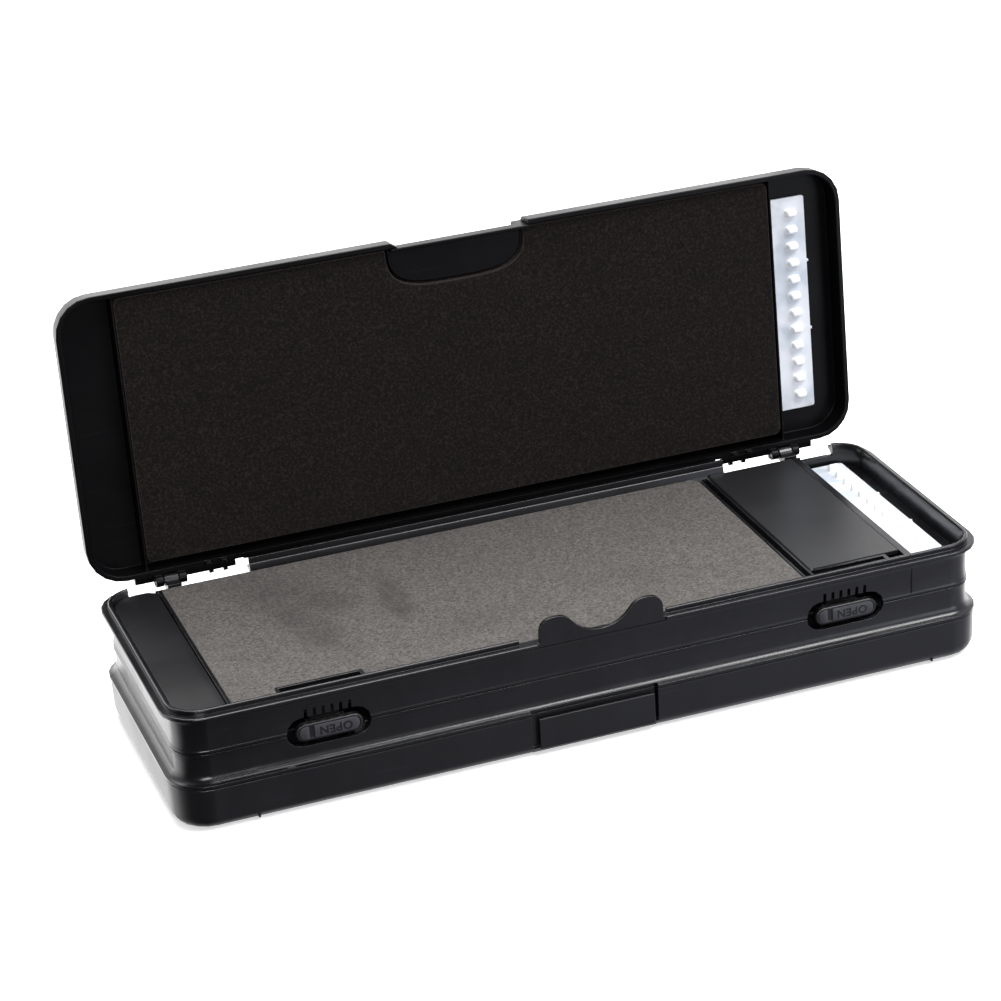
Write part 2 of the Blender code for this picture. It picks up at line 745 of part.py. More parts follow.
def add_catches(tray, half):
    """Catch bars inside the upper tray, above the noses of the buttons."""
    for side in (-1, 1):
        centre = side * BUTTON_PLACE
        bar = block(
            "catch",
            centre - CATCH_WIDTH / 2,
            centre + CATCH_WIDTH / 2,
            INNER_FRONT - BITE,
            INNER_FRONT + SHAFT_FRONT_WALL + CATCH_DEPTH,
            half.seam + OVAL_HEIGHT / 2 + SLOT_RISE + BITE,
            half.seam + OVAL_HEIGHT / 2 + SLOT_RISE + BITE + CATCH_HEIGHT,
        )
        join(tray, bar)


def add_cheeks(tray, half):
    """Guides on both sides of each button's stem, in the lower tray."""
    rear = INNER_FRONT + SHAFT_FRONT_WALL + SHAFT_DEPTH
    gap = STEM_WIDTH / 2 + CLEARANCE
    for side in (-1, 1):
        for face in (-1, 1):
            near = side * BUTTON_PLACE + face * gap
            far = near + face * CHEEK_THICKNESS
            left, right = sorted((near, far))
            guide = block(
                "cheek",
                left,
                right,
                rear - CHEEK_LENGTH,
                rear + BITE,
                half.seam + SEAM_GAP / 2 + CLEARANCE,
                half.seam + CHEEK_DROP,
            )
            join(tray, guide)


def cut_panel_line(tray, half):
    """The fine vertical line near the rack end of the front wall."""
    line = block(
        "panel_line",
        PANEL_LINE_PLACE,
        PANEL_LINE_PLACE + PANEL_LINE_WIDTH,
        -WIDTH / 2 + WAIST_INSET - OVERRUN,
        -WIDTH / 2 + WAIST_INSET + PANEL_LINE_DEPTH,
        -half.tray_depth + BEAD_HEIGHT,
        -LIP_HEIGHT - COVE_RADIUS,
    )
    cut(tray, line)


def cover_axis():
    """Place of the cover's pivot in the half frame."""
    x = COVER_BAY_START + COVER_AXIS_INSET
    return x, -COVER_DROP - COVER_THICKNESS / 2


def cut_cover_sockets(tray):
    """Blind sockets for the cover's trunnions in the rear wall and the front partition."""
    x, z = cover_axis()
    front = INNER_FRONT + SHAFT_FRONT_WALL + SHAFT_DEPTH + PARTITION
    reach = TRUNNION_LENGTH + CLEARANCE / 2
    for start, end in ((front - reach, front + BITE), (INNER_REAR - BITE, INNER_REAR + reach)):
        cut(tray, rod_along_y("socket", start, end, x, z, TRUNNION_BORE))


def make_tray(half):
    """One tray, as a lofted block with its compartments cut in."""
    profile = tray_profile(half)
    tray = loft(half.name + "_tray", [ring(box_outline(inset), z) for inset, z in profile])
    cut_bays(tray, half)
    cut_underside(tray, half)
    add_latch_shafts(tray, half)
    cut_hinge_windows(tray)
    add_tray_lugs(tray)
    middle = SEAM_MIDDLE_WIDTH / 2
    outer = middle + CLEARANCE + SEAM_SIDE_WIDTH
    if half is UPPER:
        cut_button_openings(tray, half, slotted=True)
        add_catches(tray, half)
        cut_front_gap(tray, NOTCH_LEFT_FRONT - CLEARANCE, NOTCH_RIGHT + NOTCH_WALL, 0)
        add_front_tab(tray)
        cut_panel_line(tray, half)
        cut_cover_sockets(tray)
        add_seam_knuckles(tray, half, [(-middle, middle)])
    else:
        cut_button_openings(tray, half, slotted=False)
        add_cheeks(tray, half)
        cut_front_gap(tray, TONGUE_SLOT_LEFT, TONGUE_SLOT_RIGHT, FLANGE_NOTCH_DEPTH)
        sides = [(-outer, -middle - CLEARANCE), (middle + CLEARANCE, outer)]
        add_seam_knuckles(tray, half, sides)
    return tray


def lid_profile(half):
    """Insets and heights round a lid wall, from its ceiling to its outer face."""
    inner = LID_INSET + LID_WALL
    rim = CLEARANCE
    profile = [
        (inner + LID_DRAFT, half.lid_ceiling),
        (inner, rim),
        (LID_INSET + LID_RIM_EDGE, rim),
        (LID_INSET, rim + LID_RIM_EDGE),
    ]
    edge = half.lid_edge
    for step in range(LID_EDGE_STEPS + 1):
        angle = 0.5 * math.pi * step / LID_EDGE_STEPS
        inset = LID_INSET + LID_DRAFT + edge * (1 - math.cos(angle))
        profile.append((inset, half.lid_height - edge * (1 - math.sin(angle))))
    return profile


def add_lid_hinge(lid, half):
    """Lugs and teeth along the lid's rear rim."""
    axis_z = -HINGE_DROP
    root = WIDTH / 2 - LID_INSET - LID_WALL / 2
    middle = TRAY_LUG_WIDTH / 2 + LUG_GAP
    for side in (-1, 1):
        for start, end in ((-middle - LID_LUG_WIDTH, -middle), (middle, middle + LID_LUG_WIDTH)):
            left = side * HINGE_PLACE + start
            right = side * HINGE_PLACE + end
            low = CLEARANCE
            piece = lug("lid_lug", left, right, HINGE_Y, axis_z, root, low, LUG_ROOT)
            rib = block(
                "lug_rib",
                left,
                right,
                HINGE_Y - BITE,
                HINGE_Y + BARREL_RADIUS * math.cos(math.pi / ROUND_STEPS),
                axis_z,
                LUG_ROOT / 2,
            )
            join(piece, rib)
            join(lid, piece)
            bore = rod(
                "bore",
                left - CLEARANCE / 2,
                right + CLEARANCE / 2,
                HINGE_Y,
                axis_z,
                PIN_BORE_RADIUS,
            )
            cut(lid, bore)
        for place in TEETH_PLACES:
            centre = side * place
            tooth = block(
                "tooth",
                centre - TOOTH_WIDTH / 2,
                centre + TOOTH_WIDTH / 2,
                WIDTH / 2 - LID_INSET - TOOTH_THICKNESS,
                WIDTH / 2 - LID_INSET - LID_RIM_EDGE,
                CLEARANCE - TOOTH_LENGTH,
                CLEARANCE + BITE,
            )
            join(lid, tooth)


def scoop_outline(grow, front):
    """The D of the finger scoop: half a superellipse, with its flat side at the front."""
    half_width = SCOOP_HALF_WIDTH + grow
    reach = SCOOP_REACH + grow
    points = []
    for step in range(SCOOP_STEPS + 1):
        angle = math.pi * step / SCOOP_STEPS
        c = math.cos(angle)
        s = math.sin(angle)
        x = SCOOP_CENTRE + half_width * math.copysign(abs(c) ** (2 / SCOOP_POWER), c)
        points.append((x, SCOOP_FRONT + reach * abs(s) ** (2 / SCOOP_POWER)))
    points.append((SCOOP_CENTRE - half_width, front))
    points.append((SCOOP_CENTRE + half_width, front))
    return points


def shape_upper_front(lid, half):
    """Notch, recessed front wall and finger scoop of the upper lid."""
    face = -WIDTH / 2 + NOTCH_SETBACK
    inner = face + NOTCH_WALL
    plate_top = SCOOP_PLATE_LOW + SCOOP_WALL
    wall = block(
        "recessed_wall",
        NOTCH_LEFT_FRONT,
        NOTCH_RIGHT + NOTCH_WALL / 2,
        face,
        inner,
        CLEARANCE,
        half.lid_height - BITE,
    )
    join(lid, wall)
    outline = scoop_outline(0, SCOOP_FRONT - BITE)
    join(lid, prism("scoop_column", outline, SCOOP_PLATE_LOW, half.lid_height - BITE))
    hollow = scoop_outline(-SCOOP_WALL, -WIDTH / 2 - OVERRUN)
    cut(lid, prism("scoop_hollow", hollow, plate_top, half.lid_height + OVERRUN))
    front = -WIDTH / 2 - OVERRUN
    notch = [
        (NOTCH_LEFT_FRONT - OVERRUN, front),
        (NOTCH_RIGHT, front),
        (NOTCH_RIGHT, face),
        (NOTCH_LEFT, face),
        (NOTCH_LEFT_FRONT, -WIDTH / 2 + LID_INSET),
    ]
    cut(lid, prism("front_notch", notch, CLEARANCE - OVERRUN, half.lid_height + OVERRUN))


def shape_lower_front(lid, half):
    """Recess, inner wall and snap tongue in the front of the lower lid."""
    face = -WIDTH / 2 + NOTCH_SETBACK
    root = half.lid_height - TONGUE_ROOT_HEIGHT
    tip = half.lid_height - TONGUE_TOP_HEIGHT
    wall = block(
        "recessed_wall",
        TONGUE_SLOT_LEFT + CLEARANCE,
        TONGUE_SLOT_RIGHT - CLEARANCE,
        face,
        face + NOTCH_WALL,
        CLEARANCE,
        half.lid_ceiling + BITE,
    )
    join(lid, wall)
    recess = block(
        "tongue_recess",
        TONGUE_SLOT_LEFT,
        TONGUE_SLOT_RIGHT,
        -WIDTH / 2 - OVERRUN,
        face,
        CLEARANCE - OVERRUN,
        root,
    )
    cut(lid, recess)
    tongue = block(
        "tongue",
        TONGUE_LEFT,
        TONGUE_RIGHT,
        -WIDTH / 2 + LID_INSET,
        -WIDTH / 2 + LID_INSET + TONGUE_THICKNESS,
        tip,
        root + BITE,
    )
    join(lid, tongue)


def make_lid(half):
    """One lid, as a lofted shell with its hinge, front and ribs added."""
    profile = lid_profile(half)
    lid = loft(half.name + "_lid", [ring(box_outline(inset), z) for inset, z in profile])
    rib_low = half.lid_ceiling - LID_FOAM_THICKNESS - LID_RIB_DROP
    reach = WIDTH / 2 - LID_INSET - LID_WALL / 2
    for x in (LID_FOAM_START - FOAM_GAP - LID_RIB, LID_FOAM_END + FOAM_GAP):
        rib = block("rib", x, x + LID_RIB, -reach, reach, rib_low, half.lid_ceiling + BITE)
        join(lid, rib)
    add_lid_hinge(lid, half)
    if half is UPPER:
        shape_upper_front(lid, half)
    else:
        shape_lower_front(lid, half)
    return lid


def bevelled_pad(name, outline_at, low, high):
    """A foam pad with a small bevel round its upper edge."""
    rings = [
        ring(outline_at(0), low),
        ring(outline_at(0), high - FOAM_EDGE),
        ring(outline_at(FOAM_EDGE), high),
    ]
    return loft(name, rings)


def make_tray_foam(half):
    """Foam bed of a tray, cut round the latch shaft."""
    near = shaft_spans()[0]
    shroud_rear = INNER_FRONT + SHAFT_FRONT_WALL + SHAFT_DEPTH + PARTITION

    def outline_at(inset):
        return rounded_outline(
            FOAM_BAY_START + FOAM_GAP + inset,
            FOAM_BAY_END - FOAM_GAP - inset,
            INNER_FRONT + FOAM_GAP + inset,
            INNER_REAR - FOAM_GAP - inset,
            (BAY_CORNER, BAY_CORNER, FOAM_CORNER, BAY_CORNER),
        )

    low = -half.floor_depth + CLEARANCE
    foam = bevelled_pad(half.name + "_tray_foam", outline_at, low, -FOAM_DROP)
    notch = block(
        "foam_notch",
        near[0] - PARTITION - FOAM_GAP,
        near[1] + PARTITION + FOAM_GAP,
        INNER_FRONT - OVERRUN,
        shroud_rear + FOAM_GAP,
        -half.floor_depth - OVERRUN,
        OVERRUN,
    )
    cut(foam, notch)
    return foam


def make_lid_foam(half):
    """Foam sheet of a lid, cut round the finger scoop or the recessed wall."""

    def outline_at(inset):
        return rounded_outline(
            LID_FOAM_START + inset,
            LID_FOAM_END - inset,
            LID_FOAM_FRONT + inset,
            LID_FOAM_REAR - inset,
            (LID_FOAM_CORNER,) * CORNERS,
        )

    high = half.lid_ceiling - CLEARANCE
    low = half.lid_ceiling - LID_FOAM_THICKNESS
    rings = [
        ring(outline_at(FOAM_EDGE), low),
        ring(outline_at(0), low + FOAM_EDGE),
        ring(outline_at(0), high),
    ]
    foam = loft(half.name + "_lid_foam", rings)
    front = LID_FOAM_FRONT - OVERRUN
    wall = -WIDTH / 2 + NOTCH_SETBACK + NOTCH_WALL + FOAM_GAP
    if half is UPPER:
        outline = scoop_outline(SCOOP_FOAM_GAP, front)
        right = NOTCH_RIGHT + NOTCH_WALL / 2 + FOAM_GAP
        beside = (SCOOP_CENTRE, right, front, wall, low - OVERRUN, high + OVERRUN)
        cut(foam, block("wall_notch", *beside))
    else:
        left = TONGUE_SLOT_LEFT - FOAM_GAP
        right = TONGUE_SLOT_RIGHT + FOAM_GAP
        outline = [(left, front), (right, front), (right, wall), (left, wall)]
    cut(foam, prism("foam_notch", outline, low - OVERRUN, high + OVERRUN))
    return foam


def make_rack(name, start, front, base, direction):
    """A strip with a row of pegs; base is the face that lies on its carrier."""
    top = base + direction * RACK_THICKNESS
    strip = rounded_outline(
        start,
        start + RACK_WIDTH,
        front,
        front + RACK_LENGTH,
        (RACK_CORNER,) * CORNERS,
    )
    rack = prism(name, strip, min(base, top), max(base, top))
    for share in NUB_PLACE_SHARES:
        y = front + RACK_LENGTH * share
        nub = block(
            "nub",
            start + RACK_WIDTH - BITE,
            start + RACK_WIDTH + NUB_REACH,
            y,
            y + NUB_LENGTH,
            min(base, top) + CLEARANCE,
            max(base, top) - CLEARANCE,
        )
        join(rack, nub)
    root = top - direction * BITE
    tip = top + direction * PEG_HEIGHT
    x = start + PEG_PLACE_ACROSS
    for i in range(PEG_COUNT):
        y = front + RACK_LENGTH / 2 + (i - (PEG_COUNT - 1) / 2) * PEG_PITCH
        half_x = PEG_LENGTH / 2
        half_y = PEG_WIDTH / 2
        rings = []
        for z, shrink in ((root, 0), (tip, PEG_TAPER)):
            left, right = x - half_x + shrink, x + half_x - shrink
            near, far = y - half_y + shrink, y + half_y - shrink
            corners = [(left, near), (right, near), (right, far), (left, far)]
            rings.append(ring(corners, z))
        join(rack, loft("peg", rings))
    return rack


def make_shelf(half):
    """The plain end plate beside the foam, with a long bevel along its inner edge."""
    radius = CORNER_RADIUS - INNER_INSET - FOAM_GAP
    radii = (radius, BAY_CORNER, BAY_CORNER, radius)
    left = SHELF_BAY_START + FOAM_GAP
    seated = SHELF_BAY_END - FOAM_GAP
    front = INNER_FRONT + FOAM_GAP
    rear = INNER_REAR - FOAM_GAP
    low = -FOAM_DROP - SHELF_THICKNESS
    shelf = rounded_outline(left, seated, front, rear, radii)
    bevel = rounded_outline(left, seated - SHELF_BEVEL_WIDTH, front, rear, radii)
    rings = [
        ring(shelf, low),
        ring(shelf, -FOAM_DROP - SHELF_BEVEL_DROP),
        ring(bevel, -FOAM_DROP),
    ]
    return loft(half.name + "_end_shelf", rings)


def make_cover():
    """The flat lid of the small compartment, with a round hinge edge and two trunnions."""
    axis_x, axis_z = cover_axis()
    half_thickness = COVER_THICKNESS / 2
    front = INNER_FRONT + SHAFT_FRONT_WALL + SHAFT_DEPTH + PARTITION + COVER_END_GAP
    rear = INNER_REAR - COVER_END_GAP
    right = COVER_BAY_END - FOAM_GAP
    section = [(right, axis_z - half_thickness), (right, axis_z + half_thickness)]
    for step in range(COVER_EDGE_STEPS + 1):
        angle = 0.5 * math.pi + math.pi * step / COVER_EDGE_STEPS
        x = axis_x + half_thickness * math.cos(angle)
        section.append((x, axis_z + half_thickness * math.sin(angle)))
    rings = [[Vector((x, y, z)) for x, z in section] for y in (front, rear)]
    cover = loft("compartment_cover", rings)
    spans = ((front - TRUNNION_LENGTH, front + BITE), (rear - BITE, rear + TRUNNION_LENGTH))
    for start, end in spans:
        join(cover, rod_along_y("trunnion", start, end, axis_x, axis_z, TRUNNION_RADIUS))
    return cover


def make_button(name, centre):
    """A push button in world axes: pad, stem, spring leaf below and hooked nose above."""
    face = -WIDTH / 2 + WAIST_INSET - PAD_PROUD
    back = face + PAD_THICKNESS
    section = stadium_section(PAD_LENGTH, PAD_HEIGHT)
    crown = stadium_section(PAD_LENGTH - 2 * PAD_EDGE, PAD_HEIGHT - 2 * PAD_EDGE)
    rings = []
    for shape, y in ((crown, face), (section, face + PAD_EDGE), (section, back)):
        rings.append([Vector((centre + x, y, SEAM + z)) for x, z in shape])
    button = loft(name, rings)
    dish = stadium(
        "dish",
        centre,
        SEAM,
        PAD_LENGTH - 2 * PAD_EDGE - 2 * PAD_RIM,
        PAD_HEIGHT - 2 * PAD_EDGE - 2 * PAD_RIM,
        face - OVERRUN,
        face + CLEARANCE,
    )
    cut(button, dish)
    end = back + STEM_LENGTH
    stem = block(
        "stem",
        centre - STEM_WIDTH / 2,
        centre + STEM_WIDTH / 2,
        back - BITE,
        end,
        SEAM - STEM_HEIGHT / 2,
        SEAM + STEM_HEIGHT / 2,
    )
    join(button, stem)
    leaf = block(
        "leaf",
        centre - LEAF_WIDTH / 2,
        centre + LEAF_WIDTH / 2,
        end - LEAF_THICKNESS,
        end - CLEARANCE / 2,
        SEAM - LEAF_DROP,
        SEAM,
    )
    join(button, leaf)
    nose = block(
        "nose",
        centre - NOSE_WIDTH / 2,
        centre + NOSE_WIDTH / 2,
        end - NOSE_THICKNESS,
        end - CLEARANCE / 2,
        SEAM,
        SEAM + NOSE_RISE,
    )
    join(button, nose)
    hook = block(
        "hook",
        centre - NOSE_WIDTH / 2,
        centre + NOSE_WIDTH / 2,
        end - NOSE_THICKNESS - NOSE_HOOK,
        end - NOSE_THICKNESS + BITE / 2,
        SEAM + NOSE_RISE - NOSE_HOOK_HEIGHT,
        SEAM + NOSE_RISE - CLEARANCE / 2,
    )
    join(button, hook)
    return button


def make_pin(name, centre, half_length, y, z):
    return rod(name, centre - half_length, centre + half_length, y, z, PIN_RADIUS)


def body_frame(name, place, parent=None, parent_place=Vector((0, 0, 0))):
    """An empty on a joint's axis that carries the pieces of one moving body."""
    frame = bpy.data.objects.new(name, None)
    bpy.context.collection.objects.link(frame)
    frame.parent = parent
    frame.location = place - parent_place
    return frame


def carry(item, frame, place, finish):
    """Hang a piece, modelled in world axes with its lid shut, on a body's empty."""
    item.data.transform(Matrix.Translation(-place))
    item.parent = frame
    item.data.materials.clear()
    item.data.materials.append(finish)
    item.data.shade_smooth()
    item.data.set_sharp_from_angle(angle=math.radians(30))


def build():
    clear_scene()
    shell = material("satin_black_plastic", (0.014, 0.014, 0.017), 0.42)
    lid_shell = material("lid_black_plastic", (0.008, 0.008, 0.009), 0.38)
    base_shell = material("base_black_plastic", (0.026, 0.026, 0.030), 0.45)
    cover_finish = material("satin_cover_plastic", (0.055, 0.057, 0.064), 0.5)
    button_finish = material("button_plastic", (0.012, 0.012, 0.013), 0.35)
    grey_foam = material("grey_foam", (0.15, 0.14, 0.13), 0.95)
    black_foam = material("black_foam", (0.012, 0.010, 0.009), 0.95)
    white = material("white_plastic", (0.62, 0.64, 0.68), 0.35)
    steel = material("steel_wire", (0.55, 0.55, 0.55), 0.3, 1.0)

    root_place = Vector((0, 0, 0))
    lower_axis = Vector((0, HINGE_Y, LOWER_SHOULDER + HINGE_DROP))
    seam_axis = Vector((0, SEAM_HINGE_Y, SEAM))
    upper_axis = Vector((0, HINGE_Y, UPPER_SHOULDER - HINGE_DROP))
    cover_x, cover_z = cover_axis()
    cover_place = Vector((cover_x, 0, UPPER_SHOULDER + cover_z))
    lower_lid_body = body_frame("lower_lid_body", root_place)
    lower_tray_body = body_frame("lower_tray_body", lower_axis, lower_lid_body)
    upper_tray_body = body_frame("upper_tray_body", seam_axis, lower_tray_body, lower_axis)
    upper_lid_body = body_frame("upper_lid_body", upper_axis, upper_tray_body, seam_axis)
    cover_body = body_frame("cover_body", cover_place, upper_tray_body, seam_axis)
    upper_lid_body.rotation_euler.x = -OPEN_ANGLE

    trays = {
        UPPER: (upper_tray_body, seam_axis, shell),
        LOWER: (lower_tray_body, lower_axis, shell),
    }
    lids = {
        UPPER: (upper_lid_body, upper_axis, lid_shell),
        LOWER: (lower_lid_body, root_place, base_shell),
    }
    for half in (UPPER, LOWER):
        body, place, finish = trays[half]
        tray_rack = make_rack(
            half.name + "_tray_peg_rack",
            TRAY_RACK_START,
            TRAY_RACK_FRONT,
            -RACK_BAY_DEPTH + CLEARANCE,
            1,
        )
        in_tray = (
            (make_tray(half), finish),
            (make_tray_foam(half), grey_foam),
            (make_shelf(half), shell),
            (tray_rack, white),
        )
        for item, item_finish in in_tray:
            item.data.transform(half.frame)
            carry(item, body, place, item_finish)
        body, place, finish = lids[half]
        lid_rack = make_rack(
            half.name + "_lid_peg_rack",
            LID_RACK_START,
            LID_RACK_FRONT,
            half.lid_ceiling - CLEARANCE,
            -1,
        )
        in_lid = (
            (make_lid(half), finish),
            (make_lid_foam(half), black_foam),
            (lid_rack, white),
        )
        for item, item_finish in in_lid:
            item.data.transform(half.frame)
            carry(item, body, place, item_finish)

    cover = make_cover()
    cover.data.transform(UPPER.frame)
    carry(cover, cover_body, cover_place, cover_finish)

    lid_pin = TRAY_LUG_WIDTH / 2 + LUG_GAP + LID_LUG_WIDTH - PIN_SHORTFALL
    seam_pin = SEAM_MIDDLE_WIDTH / 2 + CLEARANCE + SEAM_SIDE_WIDTH - PIN_SHORTFALL
    for side, label in ((-1, "left"), (1, "right")):
        place = side * HINGE_PLACE
        pin = make_pin("upper_hinge_pin_" + label, place, lid_pin, HINGE_Y, upper_axis.z)
        carry(pin, upper_tray_body, seam_axis, steel)
        pin = make_pin("lower_hinge_pin_" + label, place, lid_pin, HINGE_Y, lower_axis.z)
        carry(pin, lower_tray_body, lower_axis, steel)
        place = side * SEAM_HINGE_PLACE
        pin = make_pin("seam_hinge_pin_" + label, place, seam_pin, SEAM_HINGE_Y, SEAM)
        carry(pin, lower_tray_body, lower_axis, steel)
        button = make_button("open_button_" + label, side * BUTTON_PLACE)
        carry(button, lower_tray_body, lower_axis, button_finish)
    bpy.context.view_layer.update()


build()
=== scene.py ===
# %% [markdown]
# A double-sided rig box
#
# The real object is a flat plastic case for made-up fishing rigs. Two shallow trays are
# joined back to back, each has its own lid, and each is lined with foam that a hook can be
# pressed into. Here it stands on its closed lower lid, with the upper lid open.
#
# The shells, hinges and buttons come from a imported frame, at their real size. This lesson
# dresses them: it rounds their moulded edges, makes the foam, the peg racks and the raised
# letters as new surfaces, and gives each thing the finish of the stuff it is made from.

# %% Load the frame
import json
import math

import bmesh
import bpy
import numpy as np
from mathutils import Matrix, Vector
from mathutils.geometry import delaunay_2d_cdt


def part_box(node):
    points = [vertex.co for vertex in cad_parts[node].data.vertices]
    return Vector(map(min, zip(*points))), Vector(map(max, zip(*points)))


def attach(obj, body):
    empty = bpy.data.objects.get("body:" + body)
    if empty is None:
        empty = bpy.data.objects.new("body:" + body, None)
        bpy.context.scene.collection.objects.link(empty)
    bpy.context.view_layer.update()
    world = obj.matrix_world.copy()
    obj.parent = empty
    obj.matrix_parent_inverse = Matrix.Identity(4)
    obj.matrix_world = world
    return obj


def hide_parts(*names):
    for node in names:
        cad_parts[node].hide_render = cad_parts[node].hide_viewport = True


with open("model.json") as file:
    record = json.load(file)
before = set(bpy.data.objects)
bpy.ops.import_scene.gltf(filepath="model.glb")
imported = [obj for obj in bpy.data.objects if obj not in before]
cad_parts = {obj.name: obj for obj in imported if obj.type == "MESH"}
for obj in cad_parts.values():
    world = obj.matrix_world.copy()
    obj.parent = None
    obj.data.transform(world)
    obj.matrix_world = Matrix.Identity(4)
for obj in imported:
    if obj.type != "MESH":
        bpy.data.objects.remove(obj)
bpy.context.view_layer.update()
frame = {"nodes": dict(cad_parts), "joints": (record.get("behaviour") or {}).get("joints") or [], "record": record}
MM = 0.001

# %% [markdown]
# Half frames
#
# Both halves of the box share one plan, and the lower one is turned over. So a piece is
# easiest to make in the frame of its own half: z is 0 on the shoulder where the lid closes,
# and rises into the lid.
# One matrix per place then takes it into the box: the upper half only moves up, the lower
# half is turned over about the long side, and the upper lid also swings open on its hinge.

# %% The matrices of the four places
SHOULDER_FROM_HINGE = 0.6 * MM

joints = {joint["name"]: joint for joint in frame["joints"]}


def swing(joint, degrees):
    """Turn about the joint's own axis line: move it to the origin, rotate, move back."""
    place = Vector(joint["pos_m"])
    turn = Matrix.Rotation(math.radians(degrees), 4, Vector(joint["axis"]))
    return Matrix.Translation(place) @ turn @ Matrix.Translation(-place)


lid_hinge = joints["upper_lid_hinge"]
upper_shoulder = lid_hinge["pos_m"][2] + SHOULDER_FROM_HINGE
lower_shoulder = joints["lower_lid_hinge"]["pos_m"][2] - SHOULDER_FROM_HINGE
UPPER = Matrix.Translation((0, 0, upper_shoulder))
LOWER = Matrix.Translation((0, 0, lower_shoulder)) @ Matrix.Rotation(math.pi, 4, "Y")
OPEN_LID = swing(lid_hinge, -lid_hinge["range_deg"][0]) @ UPPER
PLACES = {"upper_tray": UPPER, "upper_lid": OPEN_LID, "lower_tray": LOWER, "lower_lid": LOWER}


def node_points(node_name):
    """All the corners of a frame node as an array of rows."""
    mesh = frame["nodes"][node_name].data
    points = np.empty(len(mesh.vertices) * 3)
    mesh.vertices.foreach_get("co", points)
    return points.reshape(-1, 3)


def moved(points, matrix):
    """Points turned by the matrix's 3 x 3 part and shifted by its last column."""
    m = np.array(matrix)
    return points @ m[:3, :3].T + m[:3, 3]


def half_box(node_name, place):
    """Lowest and highest corner of a node in the frame of its own half."""
    points = moved(node_points(node_name), PLACES[place].inverted())
    return points.min(0), points.max(0)


low, high = half_box("upper_lid_foam", "upper_lid")
print("lid foam in its half frame, mm:", (low / MM).round(2), (high / MM).round(2))

# %% [markdown]
# The camera
#
# A product photograph like this one is taken from a little over a metre away with a long
# lens, so its lines hardly converge. The camera stands a little to the left and well above
# the box, and is rolled a few degrees, which makes the long side climb to the right. The
# three angles and the place were fitted to edges of the box whose real sizes are known.

# %% Place the camera
CAMERA_PLACE = Vector((-378.4, -1079.9, 607.0)) * MM
AZIMUTH = math.radians(-18.594)
ELEVATION = math.radians(24.595)
ROLL = math.radians(-3.66)
FOCAL_PIXELS = 3073.7
IMAGE_PIXELS = 1001
SENSOR_WIDTH = 36.0
CLIP_RANGE = (0.05, 50.0)


def camera_axes(azimuth, elevation, roll):
    """Columns: right, up and back of a camera that looks at the box from that side.

    Back points from the box to the camera. Right is level, and up completes the three.
    The roll then turns right and up about the line of sight.
    """
    level = math.cos(elevation)
    back = Vector((math.sin(azimuth) * level, -math.cos(azimuth) * level, math.sin(elevation)))
    right = Vector((0, 0, 1)).cross(back).normalized()
    up = back.cross(right)
    right_rolled = right * math.cos(roll) + up * math.sin(roll)
    up_rolled = up * math.cos(roll) - right * math.sin(roll)
    return Matrix((right_rolled, up_rolled, back)).transposed()


camera_data = bpy.data.cameras.new("studio_camera")
camera_data.sensor_width = SENSOR_WIDTH
camera_data.lens = SENSOR_WIDTH * FOCAL_PIXELS / IMAGE_PIXELS
camera_data.clip_start, camera_data.clip_end = CLIP_RANGE
camera = bpy.data.objects.new("studio_camera", camera_data)
bpy.context.scene.collection.objects.link(camera)
turn = camera_axes(AZIMUTH, ELEVATION, ROLL)
camera.matrix_world = Matrix.Translation(CAMERA_PLACE) @ turn.to_4x4()
bpy.context.scene.camera = camera
print("lens:", round(camera_data.lens, 1), "mm")

# %% [markdown]
# Colours and node trees
#
# Colours are chosen as sRGB hex values, the way a designer reads them off a swatch, and the
# renderer wants linear light, so one function converts them. A second function adds a
# shader node, sets its properties and fills its inputs with values or with links.

# %% Helpers for materials
def linear(colour):
    """sRGB hex to linear RGBA: c / 12.92 below 0.04045, else ((c + 0.055) / 1.055) ^ 2.4."""
    parts = [int(colour[i : i + 2], 16) / 255 for i in (1, 3, 5)]
    light = [c / 12.92 if c <= 0.04045 else ((c + 0.055) / 1.055) ** 2.4 for c in parts]
    return (*light, 1.0)


def node(tree, kind, inputs=None, stops=(), **settings):
    """Add a node with its settings, its inputs and, on a colour ramp, its stops.

    An input is named or numbered, and holds a value or another node's output. A stop is a
    position from 0 to 1 and a hex colour.
    """
    made = tree.nodes.new(kind)
    for name, value in settings.items():
        setattr(made, name, value)
    for name, value in (inputs or {}).items():
        socket = made.inputs[name]
        if isinstance(value, bpy.types.NodeSocket):
            tree.links.new(value, socket)
        else:
            socket.default_value = value
    if stops:
        elements = made.color_ramp.elements
        while len(elements) < len(stops):
            elements.new(0.5)
        for element, (position, colour) in zip(elements, stops):
            element.position = position
            element.color = linear(colour)
    return made


def empty_material(name):
    """A new material and its node tree, with nothing in it yet."""
    material = bpy.data.materials.new(name)
    material.use_nodes = True
    material.node_tree.nodes.clear()
    return material, material.node_tree


def per_mm(size):
    """Noise scale in cycles per metre for a pattern whose features are size mm apart."""
    return 1.0 / (size * MM)


print("mid grey is", round(linear("#808080")[0], 3), "in linear light")

# %% [markdown]
# Injection-moulded black plastic
#
# The shells are polypropylene or ABS with black masterbatch, moulded against spark-eroded
# steel. Such plastic is almost black by itself, IOR about 1.5, and what the eye reads is its
# sheen: a fine pebble that widens every reflection, faint cloudy flow marks where the melt
# slowed down, and hairline scuffs from handling. The pebble of a real mould is about 0.1 mm
# across, too fine for a picture at 2.4 pixels per millimetre, so it is drawn at 0.5 mm, and
# a little wider on the cover.

# %% The moulded plastics
PLASTIC_IOR = 1.5
CLOUD_SIZE = 45.0
CLOUD_SPAN = (0.3, 0.7)
CLOUD_ROUGHNESS = (-0.05, 0.06)
SINK_DEPTH = 0.8 * MM
